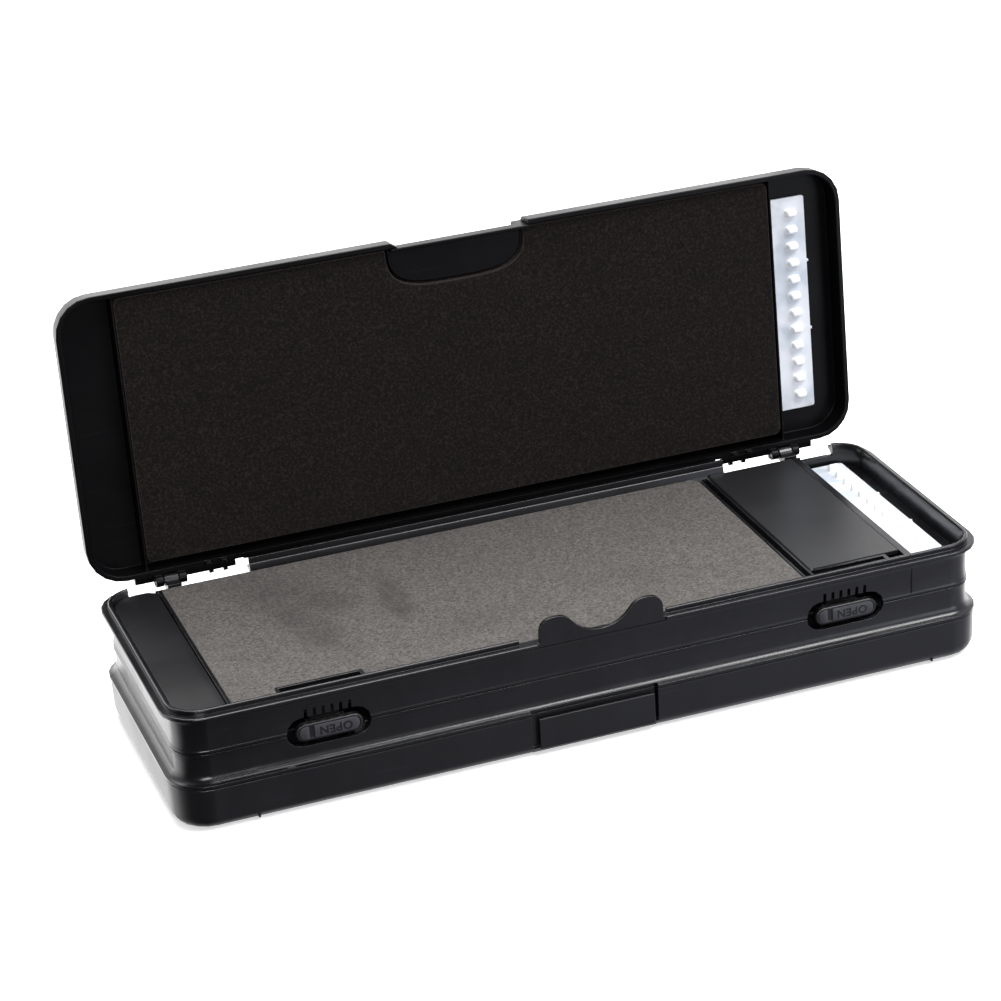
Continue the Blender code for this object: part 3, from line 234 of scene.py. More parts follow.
# Noise cycles per metre along and across a scuff: streaks 33 mm long and 1.1 mm wide. A
# Mapping node turns after it scales, so the turn only picks another slice of the noise.
SCUFF_CYCLES = (30.0, 900.0, 900.0)
SCUFF_TURN = (0.5, 0.4, 0.9)
SCUFF_CUT = (0.66, 0.78)
SCUFF_COLOUR = "#3C3C40"


def moulded_plastic(name, colours, roughness, pebble, pebble_height, scuffs, level):
    """Pebble: bump from fine noise. Clouds: colour, roughness and sink from wide noise.

    Scuffs: noise stretched thirtyfold along x, the long side, and cut off high, so that
    only thin streaks are left, which are a little lighter than the plastic.
    """
    material, tree = empty_material(name)
    place = node(tree, "ShaderNodeTexCoord").outputs["Object"]
    clouds = node(
        tree,
        "ShaderNodeTexNoise",
        {"Vector": place, "Scale": per_mm(CLOUD_SIZE), "Detail": 3.0, "Roughness": 0.55},
    ).outputs["Fac"]
    grain = node(
        tree,
        "ShaderNodeTexNoise",
        {"Vector": place, "Scale": per_mm(pebble), "Detail": 2.0, "Roughness": 0.6},
    ).outputs["Fac"]
    stretched = node(
        tree,
        "ShaderNodeMapping",
        {"Vector": place, "Rotation": SCUFF_TURN, "Scale": SCUFF_CYCLES},
    ).outputs["Vector"]
    streaks = node(
        tree, "ShaderNodeTexNoise", {"Vector": stretched, "Scale": 1.0, "Detail": 2.0}
    ).outputs["Fac"]
    low, high = SCUFF_CUT
    scuff = node(
        tree,
        "ShaderNodeMapRange",
        {"Value": streaks, "From Min": low, "From Max": high, "To Max": scuffs},
    ).outputs["Result"]
    body = node(
        tree,
        "ShaderNodeMix",
        {"Factor": clouds, "A": linear(colours[0]), "B": linear(colours[1])},
        data_type="RGBA",
    ).outputs["Result"]
    worn = node(
        tree,
        "ShaderNodeMix",
        {"Factor": scuff, "A": body, "B": linear(SCUFF_COLOUR)},
        data_type="RGBA",
    ).outputs["Result"]
    spread = node(
        tree,
        "ShaderNodeMapRange",
        {
            "Value": clouds,
            "From Min": CLOUD_SPAN[0],
            "From Max": CLOUD_SPAN[1],
            "To Min": roughness + CLOUD_ROUGHNESS[0],
            "To Max": roughness + CLOUD_ROUGHNESS[1],
        },
    ).outputs["Result"]
    sink = node(
        tree, "ShaderNodeBump", {"Height": clouds, "Strength": 0.5, "Distance": SINK_DEPTH}
    ).outputs["Normal"]
    bump = node(
        tree,
        "ShaderNodeBump",
        {"Height": grain, "Strength": 0.5, "Distance": pebble_height * MM, "Normal": sink},
    ).outputs["Normal"]
    shader = node(
        tree,
        "ShaderNodeBsdfPrincipled",
        {
            "Base Color": worn,
            "Roughness": spread,
            "Normal": bump,
            "IOR": PLASTIC_IOR,
            "Specular IOR Level": level,
        },
    )
    node(tree, "ShaderNodeOutputMaterial", {"Surface": shader.outputs["BSDF"]})
    return material


# For each: the two colours of its clouds, roughness, pebble size and height in mm, how
# strongly its scuffs show, and the shader's specular level.
PLASTICS = {
    "moulded_tray_black": (("#0C0C0E", "#131316"), 0.25, 0.5, 0.02, 0.15, 0.5),
    # The upper lid's plastic is darker and duller than the lower lid's: painted shade on the inside of the open
    # lid, which faces the front and gets little light.
    "moulded_lid_black_painted_shade": (("#040405", "#070708"), 0.34, 0.5, 0.02, 0.1, 0.12),
    "moulded_base_black": (("#0F0F11", "#151518"), 0.32, 0.5, 0.03, 0.2, 0.5),
    "moulded_shelf_black": (("#0E0E10", "#141416"), 0.38, 0.5, 0.03, 0.12, 0.5),
    "moulded_cover_grey": (("#101012", "#151517"), 0.42, 0.6, 0.05, 0.12, 0.5),
    "moulded_button_black": (("#0A0A0B", "#101012"), 0.4, 0.5, 0.04, 0.3, 0.5),
    "rubbed_pad_grey": (("#2E2E32", "#3A3A3F"), 0.42, 0.5, 0.04, 0.4, 0.5),
}
plastics = {name: moulded_plastic(name, *values) for name, values in PLASTICS.items()}
print("moulded plastics:", sorted(plastics))

# %% [markdown]
# Blued spring wire
#
# The hinge pins are cut from drawn spring-steel wire, heat-treated to a dark blue-grey, so
# they hardly show in the lugs. Drawing leaves fine lines along the wire, so the bump is
# noise stretched along x, the wires' own direction: a line is 6 mm long and 0.2 mm wide.

# %% The wire
DRAWN_LINE = (6.0, 0.2, 0.2)
DRAWN_DEPTH = 0.02 * MM
WIRE_TONES = ((0.3, "#3A3C40"), (0.7, "#54565A"))


def drawn_wire(name):
    """One stretched noise gives both the bump and the tone, so a raised line is lighter."""
    material, tree = empty_material(name)
    place = node(tree, "ShaderNodeTexCoord").outputs["Object"]
    cycles = tuple(per_mm(size) for size in DRAWN_LINE)
    along = node(tree, "ShaderNodeMapping", {"Vector": place, "Scale": cycles})
    lines = node(
        tree,
        "ShaderNodeTexNoise",
        {"Vector": along.outputs["Vector"], "Scale": 1.0, "Detail": 3.0},
    ).outputs["Fac"]
    bump = node(
        tree, "ShaderNodeBump", {"Height": lines, "Strength": 0.4, "Distance": DRAWN_DEPTH}
    )
    tone = node(tree, "ShaderNodeValToRGB", {"Fac": lines}, stops=WIRE_TONES)
    shader = node(
        tree,
        "ShaderNodeBsdfPrincipled",
        {
            "Base Color": tone.outputs["Color"],
            "Normal": bump.outputs["Normal"],
            "Metallic": 1.0,
            "Roughness": 0.34,
        },
    )
    node(tree, "ShaderNodeOutputMaterial", {"Surface": shader.outputs["BSDF"]})
    return material


wire = drawn_wire("blued_spring_wire")
print("wire:", wire.name)

# %% [markdown]
# Edges of a moulding
#
# No moulded edge is truly sharp: the cutter that made the steel leaves a radius of a few
# tenths of a millimetre, and that radius is what catches the light and draws the edge. The
# frame's shells have sharp edges, so each is copied, its loose triangles are merged and its
# flat faces made whole, and a Bevel rounds every edge that turns by more than 28 degrees. A
# narrow step can't take the full radius, so each edge gets a weight: its radius is held to
# a share of the shortest edge that meets it.

# %% Measure the edges
ROUND_SHARE = 0.4
LEAST_SHARE = 0.2
SHARP_ANGLE = math.radians(28)
FLAT_ANGLE = math.radians(0.5)
MERGE = 0.002 * MM


def least_neighbours(ends, lengths, count):
    """For each edge, the shortest of the other edges that share one of its corners."""
    order = np.argsort(np.concatenate([lengths, lengths]), kind="stable")
    corner = ends.T.ravel()[order]
    edge = np.tile(np.arange(len(lengths)), 2)[order]
    length = np.concatenate([lengths, lengths])[order]
    first = np.full(count, np.inf)
    second = np.full(count, np.inf)
    owner = np.full(count, -1)
    seen, at = np.unique(corner, return_index=True)
    first[seen] = length[at]
    owner[seen] = edge[at]
    rest = np.delete(np.arange(len(corner)), at)
    seen, at = np.unique(corner[rest], return_index=True)
    second[seen] = length[rest][at]
    mine = owner[ends] == np.arange(len(lengths))[:, None]
    return np.where(mine, second[ends], first[ends]).min(1)


def edge_turns(mesh):
    """Angle between the two faces of each edge, in the mesh's own edge order."""
    bm = bmesh.new()
    bm.from_mesh(mesh)
    turns = np.array([edge.calc_face_angle(0.0) for edge in bm.edges])
    bm.free()
    return turns


def edge_weights(mesh, radius):
    """Share of the radius that each edge takes, and whether the edge is drawn sharp.

    The share is ROUND_SHARE of the shortest neighbour over the radius, at most 1, on every
    edge that turns enough. One with a share under LEAST_SHARE is sharp as well.
    """
    ends = np.empty(len(mesh.edges) * 2, np.int32)
    mesh.edges.foreach_get("vertices", ends)
    ends = ends.reshape(-1, 2)
    points = np.empty(len(mesh.vertices) * 3)
    mesh.vertices.foreach_get("co", points)
    points = points.reshape(-1, 3)
    lengths = np.linalg.norm(points[ends[:, 0]] - points[ends[:, 1]], axis=1)
    room = least_neighbours(ends, lengths, len(points))
    turned = edge_turns(mesh) > SHARP_ANGLE
    share = np.where(turned, np.clip(room * ROUND_SHARE / radius, 0, 1), 0)
    return share, turned & (share < LEAST_SHARE)


print("an edge is rounded from", round(math.degrees(SHARP_ANGLE)), "degrees")

# %% Round the edges of the shells
body_of = {n: b for b, ns in frame["record"]["behaviour"]["bodies"].items() for n in ns}
slot_of = {part["node"]: part["material_slot"] for part in frame["record"]["subparts"]}
BEVEL_SEGMENTS = 2


def softened(source, radius, material):
    """A copy of a frame node with its edges rounded, which then stands for the node."""
    bm = bmesh.new()
    bm.from_mesh(frame["nodes"][source].data)
    bmesh.ops.remove_doubles(bm, verts=bm.verts, dist=MERGE)
    bmesh.ops.dissolve_limit(bm, angle_limit=FLAT_ANGLE, verts=bm.verts, edges=bm.edges)
    for face in bm.faces:
        face.smooth = True
    mesh = bpy.data.meshes.new(source + "_moulded")
    bm.to_mesh(mesh)
    bm.free()
    share, sharp = edge_weights(mesh, radius)
    weight = mesh.attributes.new("bevel_weight_edge", "FLOAT", "EDGE")
    weight.data.foreach_set("value", share)
    crease = mesh.attributes.new("sharp_edge", "BOOLEAN", "EDGE")
    crease.data.foreach_set("value", sharp)
    piece = bpy.data.objects.new(source + "_moulded", mesh)
    bpy.context.scene.collection.objects.link(piece)
    mesh.materials.append(material)
    bevel = piece.modifiers.new("rounding", "BEVEL")
    bevel.limit_method = "WEIGHT"
    bevel.width = radius
    bevel.segments = BEVEL_SEGMENTS
    bevel.use_clamp_overlap = False
    normals = piece.modifiers.new("flat_faces", "WEIGHTED_NORMAL")
    normals.keep_sharp = True
    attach(piece, body_of[source])
    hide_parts(source)
    return piece


# Each node, its edge radius and its plastic.
SHELLS = (
    ("upper_tray", 0.18 * MM, "moulded_tray_black"),
    ("lower_tray", 0.18 * MM, "moulded_tray_black"),
    # The open lid's darker plastic is painted shade.
    ("upper_lid", 0.35 * MM, "moulded_lid_black_painted_shade"),
    ("lower_lid", 0.35 * MM, "moulded_base_black"),
    ("upper_end_shelf", 0.3 * MM, "moulded_shelf_black"),
    ("lower_end_shelf", 0.3 * MM, "moulded_shelf_black"),
    ("compartment_cover", 0.3 * MM, "moulded_cover_grey"),
    ("open_button_left", 0.2 * MM, "moulded_button_black"),
    ("open_button_right", 0.2 * MM, "moulded_button_black"),
)
for source, radius, plastic in SHELLS:
    piece = softened(source, radius, plastics[plastic])
    print(piece.name, "has", len(piece.data.polygons), "faces before rounding")

# %% [markdown]
# The hinge pins
#
# A pin is a plain round wire, and the frame's shape is right, so it stays. Only the
# material in its slot changes.

# %% Give the pins the wire's finish
pins = [item for name, item in frame["nodes"].items() if "_pin_" in name]
for pin in pins:
    pin.data.materials.clear()
    pin.data.materials.append(wire)
print("pins:", len(pins))

# %% [markdown]
# Cut sheets and moulded strips
#
# The foam beds, the peg strips and the little plates of the press pads are all flat pieces
# with a profile round their edge. Each is made the same way: a few corners are rounded into
# an outline, a profile of insets and heights is carried round that outline, and the last
# ring is filled with triangles. Filling on a grid of points, instead of with one big face,
# gives the sheet enough points to carry stains and a gentle unevenness.

# %% Outlines
ARC_STEPS = 6


def rounded(corners, radii, steps=ARC_STEPS):
    """Each corner becomes an arc that touches both its sides.

    The arc starts r / tan(half the corner's angle) from the corner, and its points turn
    evenly between the two radii that stand square on the sides.
    """
    corner = np.asarray(corners, float)
    radius = np.broadcast_to(np.asarray(radii, float), len(corner))[:, None]
    back = np.roll(corner, 1, 0) - corner
    ahead = np.roll(corner, -1, 0) - corner
    back /= np.linalg.norm(back, axis=1)[:, None]
    ahead /= np.linalg.norm(ahead, axis=1)[:, None]
    cosine = (back * ahead).sum(1)[:, None]
    reach = radius / np.sqrt((1 - cosine) / (1 + cosine))
    middle = back + ahead
    middle /= np.linalg.norm(middle, axis=1)[:, None]
    centre = corner + middle * radius / np.sqrt((1 - cosine) / 2)
    first = (corner + back * reach - centre) / radius
    last = (corner + ahead * reach - centre) / radius
    sweep = np.pi - np.arccos(cosine)
    share = np.linspace(0, 1, steps)[None, :, None]
    turn = sweep[:, None]
    arc = (np.sin((1 - share) * turn) * first[:, None] + np.sin(share * turn) * last[:, None])
    arc = centre[:, None] + radius[:, None] * arc / np.sin(turn)
    return arc.reshape(-1, 2)


def inset(outline, distance):
    """Each point moves in by the distance along the mitre of its two sides' normals."""
    ahead = np.roll(outline, -1, 0) - outline
    ahead /= np.linalg.norm(ahead, axis=1)[:, None]
    normal = np.stack([-ahead[:, 1], ahead[:, 0]], 1)
    before = np.roll(normal, 1, 0)
    mitre = (normal + before) / (1 + (normal * before).sum(1))[:, None]
    return outline + mitre * distance


square = rounded([(0, 0), (2, 0), (2, 2), (0, 2)], 0.5)
print("a square with round corners has", len(square), "points")

# %% Rings and bands
def carried(outline, profile):
    """One ring for each (inset, height) of the profile: an array of rings of points."""
    flat = np.stack([inset(outline, distance) for distance, _ in profile])
    heights = np.array([z for _, z in profile])[:, None, None]
    return np.concatenate([flat, np.broadcast_to(heights, (*flat.shape[:2], 1))], 2)


def bands(rings, count, start=0):
    """Quads between neighbouring rings of count points, outwards for rings that rise."""
    ring = np.arange(rings - 1)[:, None] * count + start
    here = np.arange(count)[None, :]
    there = np.roll(here, -1, 1)
    quads = np.stack([ring + here, ring + there, ring + there + count, ring + here + count], 2)
    return quads.reshape(-1, 4)


print("three rings round that square give", len(bands(3, len(square))), "quads")

# %% Filled faces
GRID_CLEARANCE = 0.6
INSIDE_OUTLINE = 1
TOUCHING = 1e-7


def filled(outline, spacing, holes=()):
    """Triangles in an outline: Delaunay on its points, its holes and a square grid.

    Grid points closer than 0.6 of the spacing to a ring are left out. A triangle whose
    three corners lie on one hole's ring is inside that hole, and is left out too.
    """
    rings = [outline, *holes]
    border = np.concatenate(rings)
    low, high = outline.min(0), outline.max(0)
    x = np.arange(low[0], high[0], spacing)
    y = np.arange(low[1], high[1], spacing)
    grid = np.stack(np.meshgrid(x, y), 2).reshape(-1, 2)
    apart = np.linalg.norm(grid[:, None] - border[None], axis=2).min(1)
    grid = grid[apart > GRID_CLEARANCE * spacing]
    owner = np.concatenate([np.full(len(ring), i) for i, ring in enumerate(rings)])
    edges = []
    for i in range(1, len(rings)):
        mine = np.flatnonzero(owner == i)
        edges += np.stack([mine, np.roll(mine, -1)], 1).tolist()
    points = [Vector(p) for p in np.concatenate([border, grid])]
    loop = [list(range(len(outline)))]
    made = delaunay_2d_cdt(points, edges, loop, INSIDE_OUTLINE, TOUCHING)
    triangles = np.array(made[2])
    owner = np.concatenate([owner, np.zeros(len(grid), int)])[triangles]
    in_hole = (owner[:, 0] > 0) & (owner[:, 0] == owner[:, 1]) & (owner[:, 0] == owner[:, 2])
    used = np.zeros(len(points), bool)
    used[triangles.ravel()] = True
    keep = used[len(border) :]
    renumber = np.cumsum(np.concatenate([np.ones(len(border), int), keep])) - 1
    return grid[keep], renumber[triangles[~in_hole]]


print("filling it gives", len(filled(square, 0.4)[1]), "triangles")

# %% A closed sheet, and how a new piece joins the scene
SMOOTH_ANGLE = math.radians(50)


def closed_sheet(outline, profile, spacing, holes=(), swell=None):
    """Points and faces of a sheet, from its back ring to its filled front face.

    The profile runs from the back to the face. Swell is a height to add at (x, y), in
    full at the face and not at all at the back. Where the face is below the back, every
    face is turned round, so that it still points out.
    """
    rings = carried(outline, profile)
    count = len(outline)
    quads = bands(len(rings), count)
    grid, triangles = filled(rings[-1][:, :2], spacing, holes)
    face_height = profile[-1][1]
    back_height = profile[0][1]
    inner = np.concatenate([*holes, grid])
    inner = np.concatenate([inner, np.full((len(inner), 1), face_height)], 1)
    edge = (len(rings) - 1) * count
    points = np.concatenate([rings.reshape(-1, 3), inner])
    triangles = triangles + edge
    if swell is not None:
        share = (points[:, 2] - back_height) / (face_height - back_height)
        points[:, 2] += swell(points[:, 0], points[:, 1]) * share
    back_face = [list(range(count))[::-1]]
    faces = [quads.tolist(), triangles.tolist(), back_face]
    if face_height < back_height:
        faces = [[face[::-1] for face in group] for group in faces]
    return points, faces


def add_piece(name, points, faces, materials, indices, body, node_name=None):
    """Put a mesh in the scene, ride it on its body and let it stand for its frame node."""
    mesh = bpy.data.meshes.new(name)
    mesh.from_pydata(points.tolist(), [], faces)
    for material in materials:
        mesh.materials.append(material)
    mesh.polygons.foreach_set("material_index", np.asarray(indices, np.int32))
    mesh.shade_smooth()
    mesh.set_sharp_from_angle(angle=SMOOTH_ANGLE)
    piece = bpy.data.objects.new(name, mesh)
    bpy.context.scene.collection.objects.link(piece)
    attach(piece, body)
    if node_name:
        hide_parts(node_name)
    return piece


print("a plain sheet has", len(closed_sheet(square, [(0, 0), (0, 0.3)], 0.4)[0]), "points")

# %% [markdown]
# Foam sheet
#
# The beds are cross-linked polyethylene or EVA foam: closed cells, mostly 0.3 to 1 mm
# across, which scatter light so evenly that the sheet looks like fine felt. Only the widest
# cells show at 2.4 pixels per millimetre, so the grain is drawn about 1 mm wide. The sheets
# are die-cut, and their walls are painted a shade lighter: a painted highlight for the light
# that a cut edge catches. Wet hands have left darker stains on the grey bed. A vertex
# attribute carries them: a stain belongs to a place.

# %% Materials of the foams
FOAM_IOR = 1.45
FOAM_ROUGHNESS = 0.92
WEAR_SIZE = 22.0
WEAR_MOST = 0.16
BLOTCH_SIZE = 9.0
CELL_DEPTH = 0.12 * MM


def foam(name, colour, deep, light, cell, stain, level):
    """Colour from two noises: one as fine as the cells, one as wide as a thumb."""
    material, tree = empty_material(name)
    place = node(tree, "ShaderNodeTexCoord").outputs["Object"]
    cells = node(
        tree,
        "ShaderNodeTexNoise",
        {"Vector": place, "Scale": per_mm(cell), "Detail": 3.0, "Roughness": 0.7},
    ).outputs["Fac"]
    wide = node(
        tree,
        "ShaderNodeTexNoise",
        {"Vector": place, "Scale": per_mm(WEAR_SIZE), "Detail": 4.0},
    ).outputs["Fac"]
    tones = ((0.32, deep), (0.5, colour), (0.72, light))
    grain = node(tree, "ShaderNodeValToRGB", {"Fac": cells}, stops=tones).outputs["Color"]
    fade = node(
        tree,
        "ShaderNodeMapRange",
        {"Value": wide, "From Min": 0.3, "From Max": 0.7, "To Max": WEAR_MOST},
    ).outputs["Result"]
    result = node(
        tree,
        "ShaderNodeMix",
        {"Factor": fade, "A": grain, "B": linear(deep)},
        data_type="RGBA",
    ).outputs["Result"]
    if stain:
        mark = node(tree, "ShaderNodeAttribute", attribute_name="stain").outputs["Fac"]
        blotch = node(
            tree,
            "ShaderNodeTexNoise",
            {"Vector": place, "Scale": per_mm(BLOTCH_SIZE), "Detail": 5.0},
        ).outputs["Fac"]
        rough_mark = node(
            tree,
            "ShaderNodeMath",
            {0: mark, 1: blotch},
            operation="MULTIPLY",
            use_clamp=True,
        ).outputs["Value"]
        result = node(
            tree,
            "ShaderNodeMix",
            {"Factor": rough_mark, "A": result, "B": linear(stain)},
            data_type="RGBA",
        ).outputs["Result"]
    bump = node(
        tree, "ShaderNodeBump", {"Height": cells, "Strength": 0.6, "Distance": CELL_DEPTH}
    ).outputs["Normal"]
    shader = node(
        tree,
        "ShaderNodeBsdfPrincipled",
        {
            "Base Color": result,
            "Normal": bump,
            "IOR": FOAM_IOR,
            "Specular IOR Level": level,
            "Roughness": FOAM_ROUGHNESS,
        },
    )
    node(tree, "ShaderNodeOutputMaterial", {"Surface": shader.outputs["BSDF"]})
    return material


# For each: its middle, deep and light tone, cell size in mm, stain and specular level.
FOAMS = {
    "closed_cell_foam_grey": ("#484542", "#2B2826", "#65615D", 1.0, "#211F1D", 0.5),
    # The two edge foams are a shade lighter than their faces: a painted highlight for the light that a cut wall
    # catches.
    "foam_edge_grey_painted_highlight": ("#625F5B", "#44413F", "#7C7872", 0.9, None, 0.5),
    "closed_cell_foam_black": ("#110E0C", "#050404", "#27211D", 1.1, None, 0.2),
    "foam_edge_black_painted_highlight": ("#2A2624", "#1C1A19", "#3C3734", 0.8, None, 0.2),
}
foams = {name: foam(name, *values) for name, values in FOAMS.items()}
print("foams:", sorted(foams))

# %% [markdown]
# The grey beds
#
# A bed fills its bay between the end shelf and the small compartment. Its front edge is cut
# out round the latch shaft, and its right rear corner is rounded to clear the cover's end.
# A cut sheet is never quite flat, so its face swells and sinks by a twentieth of a
# millimetre, and its upper edge is soft.

# %% The edge and the face of a foam sheet
FOAM_EDGE = 0.4 * MM
FOAM_UNEVENNESS = 0.05 * MM
LONG_WAVE = 60 * MM
SHORT_WAVE = 38 * MM
SHORT_SHARE = 0.6


def foam_profile(back, face):
    """Straight wall, then a quarter circle of radius FOAM_EDGE up to the face."""
    angle = np.linspace(0, math.pi / 2, 4)
    side = math.copysign(FOAM_EDGE, face - back)
    arc = [(FOAM_EDGE * (1 - math.cos(a)), face - side * (1 - math.sin(a))) for a in angle]
    return [(0.0, back), *arc]


def unevenness(x, y):
    """A sine that repeats every 60 mm along x, and a weaker one every 38 mm along y.

    Both run a little askew, and the sum is divided by the most that it can be.
    """
    long_wave = np.sin(2 * math.pi * (x + 0.4 * y) / LONG_WAVE)
    short_wave = np.sin(2 * math.pi * (y - 0.3 * x) / SHORT_WAVE + 1.0)
    return FOAM_UNEVENNESS * (long_wave + SHORT_SHARE * short_wave) / (1 + SHORT_SHARE)


print("the foam's soft edge has", len(foam_profile(0.0, MM)), "rings")

# %% Where the stains lie
# For each: its centre and half axes in mm, its turn in degrees and its strength.
STAINS = (
    ((-103.0, 24.0), (24.0, 15.0), -58.0, 0.75),
    ((-100.0, -8.0), (22.0, 8.0), -75.0, 0.9),
    ((-62.0, 3.0), (19.0, 5.5), 84.0, 0.95),
    ((-84.0, 12.0), (12.0, 9.0), 0.0, 0.5),
    ((-40.0, -30.0), (26.0, 9.0), 12.0, 0.35),
    ((40.0, -22.0), (30.0, 10.0), -15.0, 0.3),
)
STAIN_FALL = 0.7


def stain_strength(points):
    """How much of the clean colour is lost, from 0 to 1.

    A stain takes its strength times e to the power -0.7 r^4, where r is 1 on its ellipse.
    What every stain leaves is multiplied.
    """
    left = np.ones(len(points))
    for centre, reach, degrees, strength in STAINS:
        turn = math.radians(degrees)
        away = points[:, :2] - np.array(centre) * MM
        along = away[:, 0] * math.cos(turn) + away[:, 1] * math.sin(turn)
        across = -away[:, 0] * math.sin(turn) + away[:, 1] * math.cos(turn)
        far = (along / (reach[0] * MM)) ** 2 + (across / (reach[1] * MM)) ** 2
        left *= 1 - strength * np.exp(-(far**2) * STAIN_FALL)
    return 1 - left


print("stains:", len(STAINS))

# %% Cut the beds
FOAM_SPACING = 2.5 * MM
BED_CORNER = 1.0 * MM
BED_REAR_CORNER = 5.0 * MM
BED_NOTCH = (-129.05 * MM, -92.95 * MM)
BED_NOTCH_REAR = -47.85 * MM


def lay_foam(node_name, place, points, faces, indices, finishes):
    """Put a cut sheet in its place in the box."""
    piece = add_piece(
        node_name + "_sheet",
        moved(points, PLACES[place]),
        sum(faces, []),
        [foams[finish] for finish in finishes],
        indices,
        body_of[node_name],
        node_name,
    )
    return piece


def cut_bed(node_name, place):
    """A sheet in the node's box, cut out at the notch. Walls and back carry a painted highlight."""
    low, high = half_box(node_name, place)
    corners = [
        (low[0], low[1]),
        (BED_NOTCH[0], low[1]),
        (BED_NOTCH[0], BED_NOTCH_REAR),
        (BED_NOTCH[1], BED_NOTCH_REAR),
        (BED_NOTCH[1], low[1]),
        (high[0], low[1]),
        (high[0], high[1]),
        (low[0], high[1]),
    ]
    outline = rounded(corners, [BED_CORNER] * 6 + [BED_REAR_CORNER, BED_CORNER])
    profile = foam_profile(low[2], high[2])
    points, faces = closed_sheet(outline, profile, FOAM_SPACING, swell=unevenness)
    walls = len(faces[0]) - len(outline)
    indices = [1] * walls + [0] * (len(outline) + len(faces[1])) + [1] * len(faces[2])
    finishes = ("closed_cell_foam_grey", "foam_edge_grey_painted_highlight")
    piece = lay_foam(node_name, place, points, faces, indices, finishes)
    layer = piece.data.attributes.new("stain", "FLOAT", "POINT")
    layer.data.foreach_set("value", stain_strength(points))
    return piece


for half in ("upper", "lower"):
    piece = cut_bed(half + "_tray_foam", half + "_tray")
    print(piece.name, "has", len(piece.data.polygons), "faces")

# %% [markdown]
# The black linings
#
# The lining of the upper lid is cut round the finger scoop, whose back is a superellipse
# with the power 3.5: nearly a rectangle with round corners. The lower one is cut square,
# round the recessed catch wall.

# %% Cut the linings
LINING_CORNER = 3.0 * MM
SCOOP_CENTRE = -1.8 * MM
SCOOP_HALF_WIDTH = 30.7 * MM
SCOOP_FRONT = -60.0 * MM
SCOOP_REACH = 19.2 * MM
SCOOP_POWER = 3.5
SCOOP_POINTS = 48
NOTCH_WALL_END = 31.7 * MM
CATCH_WALL = (-26.25 * MM, 29.05 * MM)
CATCH_WALL_REAR = -57.45 * MM
FLAT_SPACING = 6.0 * MM


def scoop_cut(front, wall):
    """The part of |x/a|^p + |y/b|^p = 1 behind the front edge, from left to right.

    At its right end the cut steps out round the end of the notch's wall.
    """
    left, right = [
        math.asin(((y - SCOOP_FRONT) / SCOOP_REACH) ** (SCOOP_POWER / 2)) for y in (front, wall)
    ]
    angle = np.linspace(math.pi - left, right, SCOOP_POINTS)
    power = 2 / SCOOP_POWER
    x = SCOOP_CENTRE + SCOOP_HALF_WIDTH * np.sign(np.cos(angle)) * abs(np.cos(angle)) ** power
    y = SCOOP_FRONT + SCOOP_REACH * abs(np.sin(angle)) ** power
    step = [(NOTCH_WALL_END, wall), (NOTCH_WALL_END, front)]
    return np.concatenate([np.stack([x, y], 1), step])


def cut_lining(node_name, place):
    """A sheet in the node's box, with the half's own cut let into its front side."""
    low, high = half_box(node_name, place)
    if place == "upper_lid":
        cut = scoop_cut(low[1], CATCH_WALL_REAR)
    else:
        left, right = CATCH_WALL
        rear = CATCH_WALL_REAR
        cut = np.array([(left, low[1]), (left, rear), (right, rear), (right, low[1])])
    box = rounded([low[:2], (high[0], low[1]), high[:2], (low[0], high[1])], LINING_CORNER)
    arc = len(box) // 4
    outline = np.concatenate([box[:arc], cut, box[arc:]])
    points, faces = closed_sheet(outline, foam_profile(high[2], low[2]), FLAT_SPACING)
    # Walls and back take the lighter edge foam: a painted highlight.
    indices = [1] * len(faces[0]) + [0] * len(faces[1]) + [1] * len(faces[2])
    finishes = ("closed_cell_foam_black", "foam_edge_black_painted_highlight")
    return lay_foam(node_name, place, points, faces, indices, finishes)


for half in ("upper", "lower"):
    piece = cut_lining(half + "_lid_foam", half + "_lid")
    print(piece.name, "has", len(piece.data.polygons), "faces")

# %% [markdown]
# Peg strips
#
# A rig's loop hangs on a peg at one end, and its hook is pressed into the foam. The strips
# are natural polypropylene, which is milky white: light goes in and comes out a little way
# off. The thin strip looks greyer and a little mottled, and the pegs, being thick, are the
# whitest.

# %% Material of the strips
POLYPROPYLENE_IOR = 1.49
MOTTLE_SIZE = 16.0
FINE_SIZE = 1.5
FINE_DEPTH = 0.05 * MM
MILKY_DEPTH = 0.8 * MM


def natural_polypropylene(name, colour, shade, mottle):
    """Wide noise mottles the colour, and subsurface scattering gives the milky depth."""
    material, tree = empty_material(name)
    place = node(tree, "ShaderNodeTexCoord").outputs["Object"]
    cloud = node(
        tree,
        "ShaderNodeTexNoise",
        {"Vector": place, "Scale": per_mm(MOTTLE_SIZE), "Detail": 2.0, "Distortion": 0.4},
    ).outputs["Fac"]
    tones = ((0.5 - mottle, shade), (0.56, colour))
    tone = node(tree, "ShaderNodeValToRGB", {"Fac": cloud}, stops=tones).outputs["Color"]
    fine = node(
        tree,
        "ShaderNodeTexNoise",
        {"Vector": place, "Scale": per_mm(FINE_SIZE), "Detail": 2.0},
    ).outputs["Fac"]
    bump = node(
        tree, "ShaderNodeBump", {"Height": fine, "Strength": 0.2, "Distance": FINE_DEPTH}
    ).outputs["Normal"]
    shader = node(
        tree,
        "ShaderNodeBsdfPrincipled",
        {
            "Base Color": tone,
            "Normal": bump,
            "IOR": POLYPROPYLENE_IOR,
            "Roughness": 0.42,
            "Subsurface Weight": 0.25,
            "Subsurface Radius": (1.0, 1.0, 1.0),
            "Subsurface Scale": MILKY_DEPTH,
        },
    )
    node(tree, "ShaderNodeOutputMaterial", {"Surface": shader.outputs["BSDF"]})
    return material


strip_plastic = natural_polypropylene("natural_polypropylene_strip", "#D6D9DF", "#B7BFC8", 0.14)
peg_plastic = natural_polypropylene("natural_polypropylene_peg", "#F8FAFD", "#EEF1F5", 0.1)
print("strips:", strip_plastic.name, peg_plastic.name)

